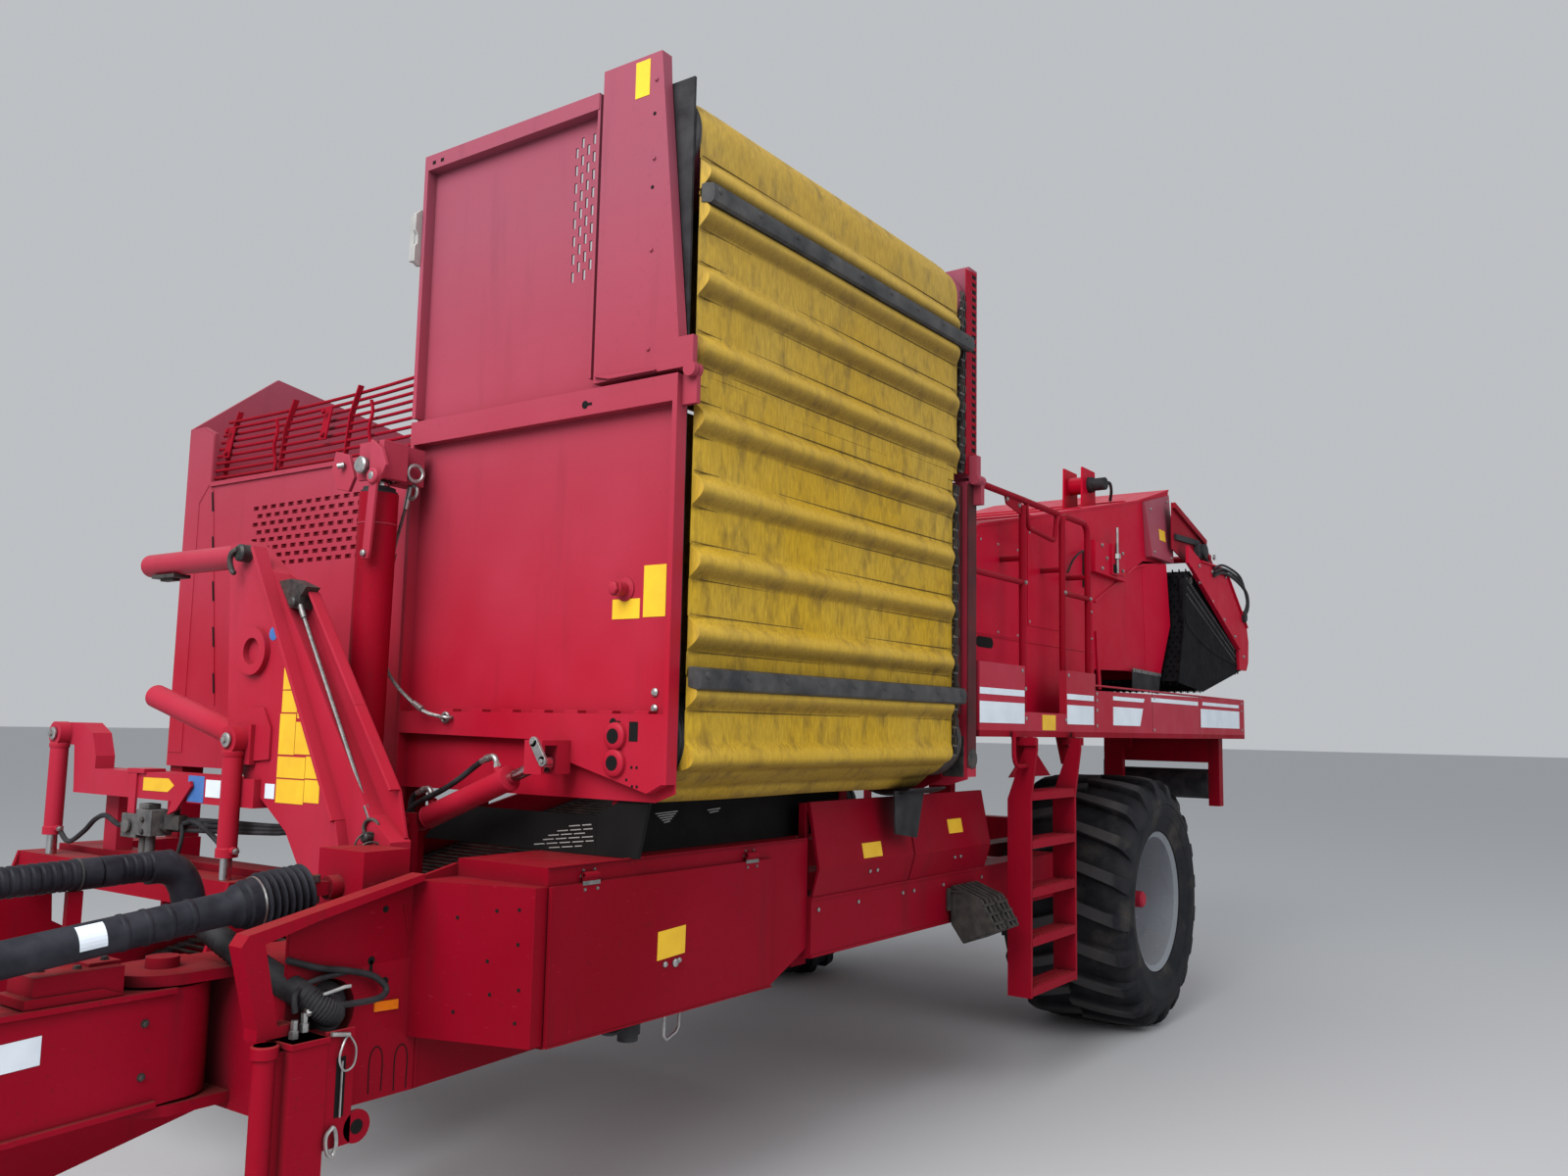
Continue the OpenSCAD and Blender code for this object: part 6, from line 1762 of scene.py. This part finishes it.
def house_openings():
    void = Shape()
    y = HOUSE_Y
    ends = [(0.03 * math.cos(a), 0.027 * math.sin(a)) for a in [math.pi * (0.5 + k / 8) for k in range(9)]]
    oval = [(1.819 + a, 2.164 + b) for a, b in ends] + [(1.955 - a, 2.164 - b) for a, b in ends]
    void.plate(oval, "y", *on(y, 0.0008))
    void.block((0.61, 0.79), on(y, 0.0008), (2.044, 2.06))
    void.block((0.11, 0.2), (y + 0.05, y + 0.0528), (2.7, 2.755))
    void.block((0.552, 0.574), on(y, 0.001), (2.574, 2.796))
    piece("house_openings", void, "chassis", "void")
    sign = Shape()
    low, high = y + 0.0375, y + 0.0312
    sign.slab([(-0.74, low, 3.03), (-0.86, low, 3.03), (-0.86, high, 3.105), (-0.74, high, 3.105)], 0.002)
    piece("house_sign", sign, "chassis", "sign")


def house_motor():
    motor = Shape()
    motor.turned(
        (0.045, 1.172, 3.29), LEFT, [(0, 0.05), (0.03, 0.05), (0.034, 0.04), (0.11, 0.04), (0.116, 0.032)],
        20,
    )
    motor.hose([(0.045, 1.27, 3.29), (0.0, 1.29, 3.3), (-0.06, 1.28, 3.26), (-0.12, 1.25, 3.21)], 0.01)
    motor.hose([
        (0.837, 1.345, 2.632), (0.78, 1.352, 2.704), (0.684, 1.355, 2.762), (0.6, 1.352, 2.78),
        (0.57, 1.345, 2.73), (0.575, 1.345, 2.65), (0.568, 1.342, 2.574),
    ], 0.006, 8, 6)
    piece("house_motor", motor, "chassis", "rubber")


def chute_details():
    """Folded edges of the chute, the facet on its side and the rubber flap with its clamp."""
    skin, flap, clamp = Shape(), Shape(), Shape()
    y = HOUSE_Y
    for a, b in [
        ((0.39, 2.505), (-0.35, 2.803)), ((-0.35, 2.803), (-0.858, 2.89)),
        ((-0.905, 2.46), (-0.76, 2.095)), ((-0.852, 2.87), (-0.905, 2.47)),
    ]:
        skin.strip(a, b, 0.014, "y", *on(y, 0.01))
    facet = [
        (-0.47, 2.838, 0.002), (-0.845, 2.876, 0.045), (-0.895, 2.462, 0.05), (-0.76, 2.106, 0.02),
        (-0.52, 2.112, 0.002),
    ]
    skin.rings([[(x, y - SUNK, z) for x, z, out in facet], [(x, y + out, z) for x, z, out in facet]])
    piece("chute_edges", skin, "chassis", "house", 0.001)
    flap.plate([(-0.745, 2.12), (-0.2, 2.13), (-0.19, 2.01), (-0.7, 1.99)], "y", y + 0.022, y + 0.028)
    piece("chute_flap", flap, "chassis", "rubber", 0.001)
    clamp.strip((-0.745, 2.116), (-0.2, 2.126), 0.022, "y", y + 0.028, y + 0.031)
    for k in range(5):
        clamp.bolt((-0.7 + 0.115 * k, y + 0.031, 2.117 + 0.0018 * k), LEFT, 0.006)
    piece("chute_clamp", clamp, "chassis", "rope")


FINGER_PATH = [
    (-1.02, 2.84), (-0.94, 2.7), (-0.94, 2.44), (-0.8, 2.06), (-1.35, 2.015), (-2.2, 2.18), (-2.4, 2.2),
    (-2.47, 2.29), (-2.4, 2.42), (-1.1, 2.88),
]
FINGER_Y = (0.265, 1.455)


def inset(outline, depth):
    """The outline moved in by a depth; its points run clockwise from above left."""
    moved = []
    n = len(outline)
    for i in range(n):
        a, b, c = (Vector((*outline[(i + k) % n], 0)) for k in (-1, 0, 1))
        u, v = (b - a).normalized(), (c - b).normalized()
        nu, nv = Vector((u.y, -u.x, 0)), Vector((v.y, -v.x, 0))
        mean = (nu + nv).normalized()
        moved.append(b + mean * depth / max(0.35, mean.dot(nu)))
    return [(p.x, p.y) for p in moved]


def finger_belt():
    """A cloth loop with rubber fingers all round, and its two rollers."""
    outer, inner = inset(FINGER_PATH, 0.024), inset(FINGER_PATH, 0.034)
    belt = Shape()
    belt.band(outer, inner, *FINGER_Y)
    pitch, aside = 0.036, 0.046
    for i in range(len(outer)):
        a, b = Vector((*outer[i], 0)), Vector((*outer[(i + 1) % len(outer)], 0))
        u = (b - a).normalized()
        out = Vector((-u.y, u.x, 0))
        for k in range(int((b - a).length / pitch)):
            foot = a + u * (0.018 + pitch * k)
            tip = foot + out * 0.0235
            for m in range(26):
                y = FINGER_Y[0] + 0.02 + aside * m + (0.023 if k % 2 else 0)
                if y < FINGER_Y[1] - 0.008:
                    belt.tube([(foot.x, y, foot.y), (tip.x, y, tip.y)], [0.0075, 0.0045], 5)
    piece("finger_cloth", belt, "chassis", "shaded_black", replaces=["finger_belt"])
    rollers = Shape()
    for x, z in [(-1.12, 2.79), (-2.38, 2.34)]:
        rollers.roller(x, 0.26, z, 1.2, 0.052, 0.02)
    piece("finger_rollers", rollers, "chassis", "steel")


def separator_skirt():
    black = Shape()
    black.hose([
        (-0.96, 1.44, 2.79), (-0.985, 1.44, 2.59), (-1.02, 1.44, 2.47), (-1.543, 1.44, 2.335),
        (-2.18, 1.44, 2.262), (-2.33, 1.44, 2.262),
    ], 0.026, 12, 6)
    # A near-black sheet over the finger belt's side, a rubber curtain; its darkness is partly painted shade
    # for the space under the separator
    black.plate([
        (-0.975, 2.83), (-2.235, 2.375), (-2.365, 2.345), (-2.395, 2.235), (-2.2, 2.19), (-1.35, 2.025),
        (-0.805, 2.07), (-0.935, 2.44), (-0.935, 2.75),
    ], "y", 1.4565, 1.4595)
    piece("separator_skirt", black, "chassis", "shaded_black", 0.001)


def separator_drive():
    """The link sheet at the separator's upper end, and the motor on its bar."""
    link, bars = Shape(), Shape()
    link.plate([
        (-0.895, 3.309), (-1.26, 3.259), (-1.647, 3.14), (-1.892, 2.974), (-1.269, 2.911), (-0.879, 2.986),
    ], "y", 1.397, 1.405)
    link.strip((-0.9, 3.29), (-1.64, 3.125), 0.04, "y", 1.404, 1.425)
    piece("separator_link", link, "chassis", "frame", 0.001)
    bars.strip((-0.93, 3.075), (-1.48, 3.1), 0.04, "y", 1.404, 1.42)
    bars.block((-1.6, -1.38), (1.404, 1.44), (2.985, 3.09))
    bars.turned((-1.49, 1.43, 3.04), LEFT, [(0, 0.055), (0.03, 0.055), (0.036, 0.04)], 20)
    piece("separator_motor", bars, "chassis", "rubber", 0.002)


def separator_knobs():
    """Three rows of rubber knobs along the skirt, each row half a step on from the last."""
    knobs = Shape()
    count = 34
    for j in range(3):
        for k in range(count):
            s = (k + 0.5 * (j % 2)) / count
            x = -1.01 - 1.19 * s
            z = 2.79 - 0.425 * s - 0.045 * j - 0.01 * j * (1 - s)
            knobs.turned((x, 1.459, z), LEFT, [(0, 0.01), (0.006, 0.008)], 6)
    piece("separator_knobs", knobs, "chassis", "slat")


def separator_edges():
    zinc, red = Shape(), Shape()
    y = 1.48
    for x, z in [
        (-1.241, 2.79), (-1.551, 2.682), (-1.841, 2.573), (-2.123, 2.47), (-1.241, 2.905), (-1.551, 2.9),
        (-1.9, 2.9), (-2.36, 2.33),
    ]:
        zinc.bolt((x, y, z), LEFT, 0.011)
    zinc.disc((-1.6, y, 3.01), LEFT, 0.02, 0.012, 12)
    piece("separator_bolts", zinc, "chassis", "zinc")
    for a, b in [
        ((-1.035, 2.88), (-2.236, 2.382)), ((-1.29, 2.944), (-1.9, 2.954)), ((-1.9, 2.954), (-2.476, 2.562)),
    ]:
        red.strip(a, b, 0.012, "y", *on(y, 0.012))
    piece("separator_edges", red, "chassis", "house", 0.001)


def separator_hoses():
    hoses = Shape()
    for lift, r in [(0.0, 0.012), (0.028, 0.01), (0.055, 0.009)]:
        hoses.hose([
            (-1.568, 1.49, 2.87 + lift), (-1.76, 1.493, 2.915 + lift), (-1.984, 1.495, 2.915 + lift),
            (-2.26, 1.495, 2.88 + lift), (-2.44 + lift / 2, 1.492, 2.83), (-2.49 + lift / 2, 1.49, 2.76),
            (-2.47 + lift, 1.486, 2.69), (-2.4 + lift, 1.48, 2.65),
        ], r, 10, 6)
    hoses.turned((-2.38, 1.478, 2.64), LEFT, [(0, 0.046), (0.02, 0.046), (0.026, 0.036)], 20)
    hoses.hose([
        (-1.1, 1.3, 3.2), (-1.25, 1.33, 3.22), (-1.42, 1.37, 3.16), (-1.55, 1.43, 3.02),
        (-1.568, 1.48, 2.88),
    ], 0.012, 10, 6)
    piece("separator_hoses", hoses, "chassis", "rubber")


# Sieving webs: rods between rubber belts, round their rollers
WEB_Y = (-1.493, -0.057)
WEB_R = 0.088
ROD_R, ROD_PITCH = 0.0062, 0.05
BELT_WIDE, BELT_DEEP = 0.06, 0.01


def web_loop(a, b):
    """Points along a loop round two rollers, a pitch apart."""
    a, b = Vector((a[0], 0, a[1])), Vector((b[0], 0, b[1]))
    along = (b - a).normalized()
    out = Vector((-along.z, 0, along.x))
    length, half = (b - a).length, math.pi * WEB_R
    count = int((2 * length + 2 * half) / ROD_PITCH)
    line = []
    for k in range(count):
        s = (2 * length + 2 * half) * k / count
        if s < length:
            line.append(a + along * s + out * WEB_R)
        elif s < length + half:
            t = (s - length) / WEB_R
            line.append(b + (out * math.cos(t) + along * math.sin(t)) * WEB_R)
        elif s < 2 * length + half:
            line.append(b - along * (s - length - half) - out * WEB_R)
        else:
            t = (s - 2 * length - half) / WEB_R
            line.append(a - (out * math.cos(t) + along * math.sin(t)) * WEB_R)
    return line


def web(name, runs, replaces):
    rods, belts, rollers = Shape(), Shape(), Shape()
    for a, b in runs:
        line = web_loop(a, b)
        for p in line:
            rods.tube([(p.x, WEB_Y[0], p.z), (p.x, WEB_Y[1], p.z)], ROD_R, 6)
        middle = Vector(((a[0] + b[0]) / 2, 0, (a[1] + b[1]) / 2))
        outer = [(p.x, p.z) for p in line]
        inner = []
        for i, p in enumerate(line):
            ahead = (line[(i + 1) % len(line)] - line[i - 1]).normalized()
            side = Vector((-ahead.z, 0, ahead.x))
            if side.dot(middle - p) < 0:
                side = -side
            inner.append((p.x + side.x * BELT_DEEP, p.z + side.z * BELT_DEEP))
        for y in (WEB_Y[0], (WEB_Y[0] + WEB_Y[1] - BELT_WIDE) / 2, WEB_Y[1] - BELT_WIDE):
            belts.band(outer, inner, y, y + BELT_WIDE)
        for x, z in (a, b):
            rollers.roller(x, -1.5, z, 1.45, 0.07, 0.01)
    piece(name + "_rods", rods, "chassis", "web", replaces=replaces)
    piece(name + "_belts", belts, "chassis", "rubber")
    piece(name + "_rollers", rollers, "chassis", "steel")


def webs():
    web("main", [((4.43, 0.59), (1.64, 1.2))], ["main_web"])
    web("rear", [((1.56, 1.42), (0.76, 1.8)), ((0.56, 1.85), (-1.7, 2.2))], ["rear_web"])


def shade_sheets():
    """Near-black sheets that close the openings below the wall: painted shade where those openings lie in
    shadow.
    """
    sheet = Shape()
    sheet.plate([(0.3, 1.298), (1.155, 1.297), (1.155, 1.425), (0.42, 1.425)], "x", 4.4432, 4.445)
    sheet.plate([
        (1.154, 1.297), (1.338, 1.297), (1.372, 1.44), (1.3865, 1.5), (1.3, 1.5), (1.18, 1.44),
        (1.154, 1.425),
    ], "x", 4.4295, 4.445)
    sheet.plate([
        (3.02, 1.297), (4.432, 1.297), (4.432, 1.44), (4.3, 1.475), (3.02, 1.475),
    ], "y", 1.196, 1.199)
    piece("shade_sheets", sheet, "chassis", "void")


def sheet_slots():
    """Pale slots on the dark sheets, painted light that shows through them: dashes in slanted rows in front,
    fans of strokes at the side.
    """
    slots = Shape()
    rows = [
        (1.032, 1.133, 1.382), (0.966, 1.139, 1.361), (0.936, 1.145, 1.345), (0.9, 1.152, 1.328),
        (0.87, 1.146, 1.311), (0.93, 1.094, 1.303),
    ]
    for j, (left, right, z) in enumerate(rows):
        y = left + 0.012 * (j % 2)
        while y + 0.03 < right:
            end = min(y + 0.05, right)
            low, high = z + 0.11 * (y - left), z + 0.11 * (end - left)
            slots.plate([
                (y, low), (end, high), (end, high + 0.0034), (y, low + 0.0034),
            ], "x", 4.4445, 4.4456)
            y += 0.06
    groups = [
        (4.4, 1.408, 0.04, 2, 0.034), (4.34, 1.398, 0.06, 4, 0.009), (4.2, 1.42, 0.12, 5, 0.008),
        (3.91, 1.42, 0.075, 2, 0.009),
    ]
    for x, z, size, count, drop in groups:
        for k in range(count):
            a, b = x - 0.012 * k, x - size + 0.01 * k
            if a - b > 0.02:
                low = z - drop * k
                slots.plate([
                    (a, low), (b, low + 0.004), (b, low + 0.0075), (a, low + 0.0035),
                ], "y", 1.1985, 1.1996)
    piece("sheet_slots", slots, "chassis", "lamp")


def belt_flap():
    """Rubber round the underside of the belt at its rear end."""
    rubber = Shape()
    rubber.plate([(2.64, 1.46), (2.9, 1.468), (2.89, 1.29), (2.7, 1.262)], "y", 1.396, 1.402)
    arc = [math.radians(a) for a in range(-62, -125, -6)]
    turns = [(0.236, a) for a in arc] + [(0.228, a) for a in reversed(arc)]
    rubber.plate([(ROLLER_Y + r * math.cos(a), FOLD_Z + r * math.sin(a)) for r, a in turns], "x", 2.54, 2.86)
    piece("belt_flap", rubber, "chassis", "rubber")


make_looks()
make_camera()
make_stage()
rope()
dress_nodes()
belts()
wheels()
shaft_cover()
shaft_yoke()
shaft_label()
conduit()
hose_sleeve()
jack_plates()
jack_fittings()
drawbar_details()
house_hood()
house_panels()
house_bolts()
house_openings()
house_motor()
chute_details()
finger_belt()
separator_skirt()
separator_drive()
separator_knobs()
separator_edges()
separator_hoses()
webs()
shade_sheets()
sheet_slots()
belt_flap()
mast_plates()
mast_hardware()
mast_cable()
front_signs()
valve_block()
beam_hoses()
lift_details()
tall_cylinder()
tilt_cylinder()
tilt_link()
box_door()
box_edges()
box_underside()
nose_details()
cover_details()
chocks()
railings()
hopper_guard()
hopper_details()
ladder_details()
side_panel_details()
wall_details()
belt_details()
rear_strips()
head_details()
clevis_details()
rope_ends()
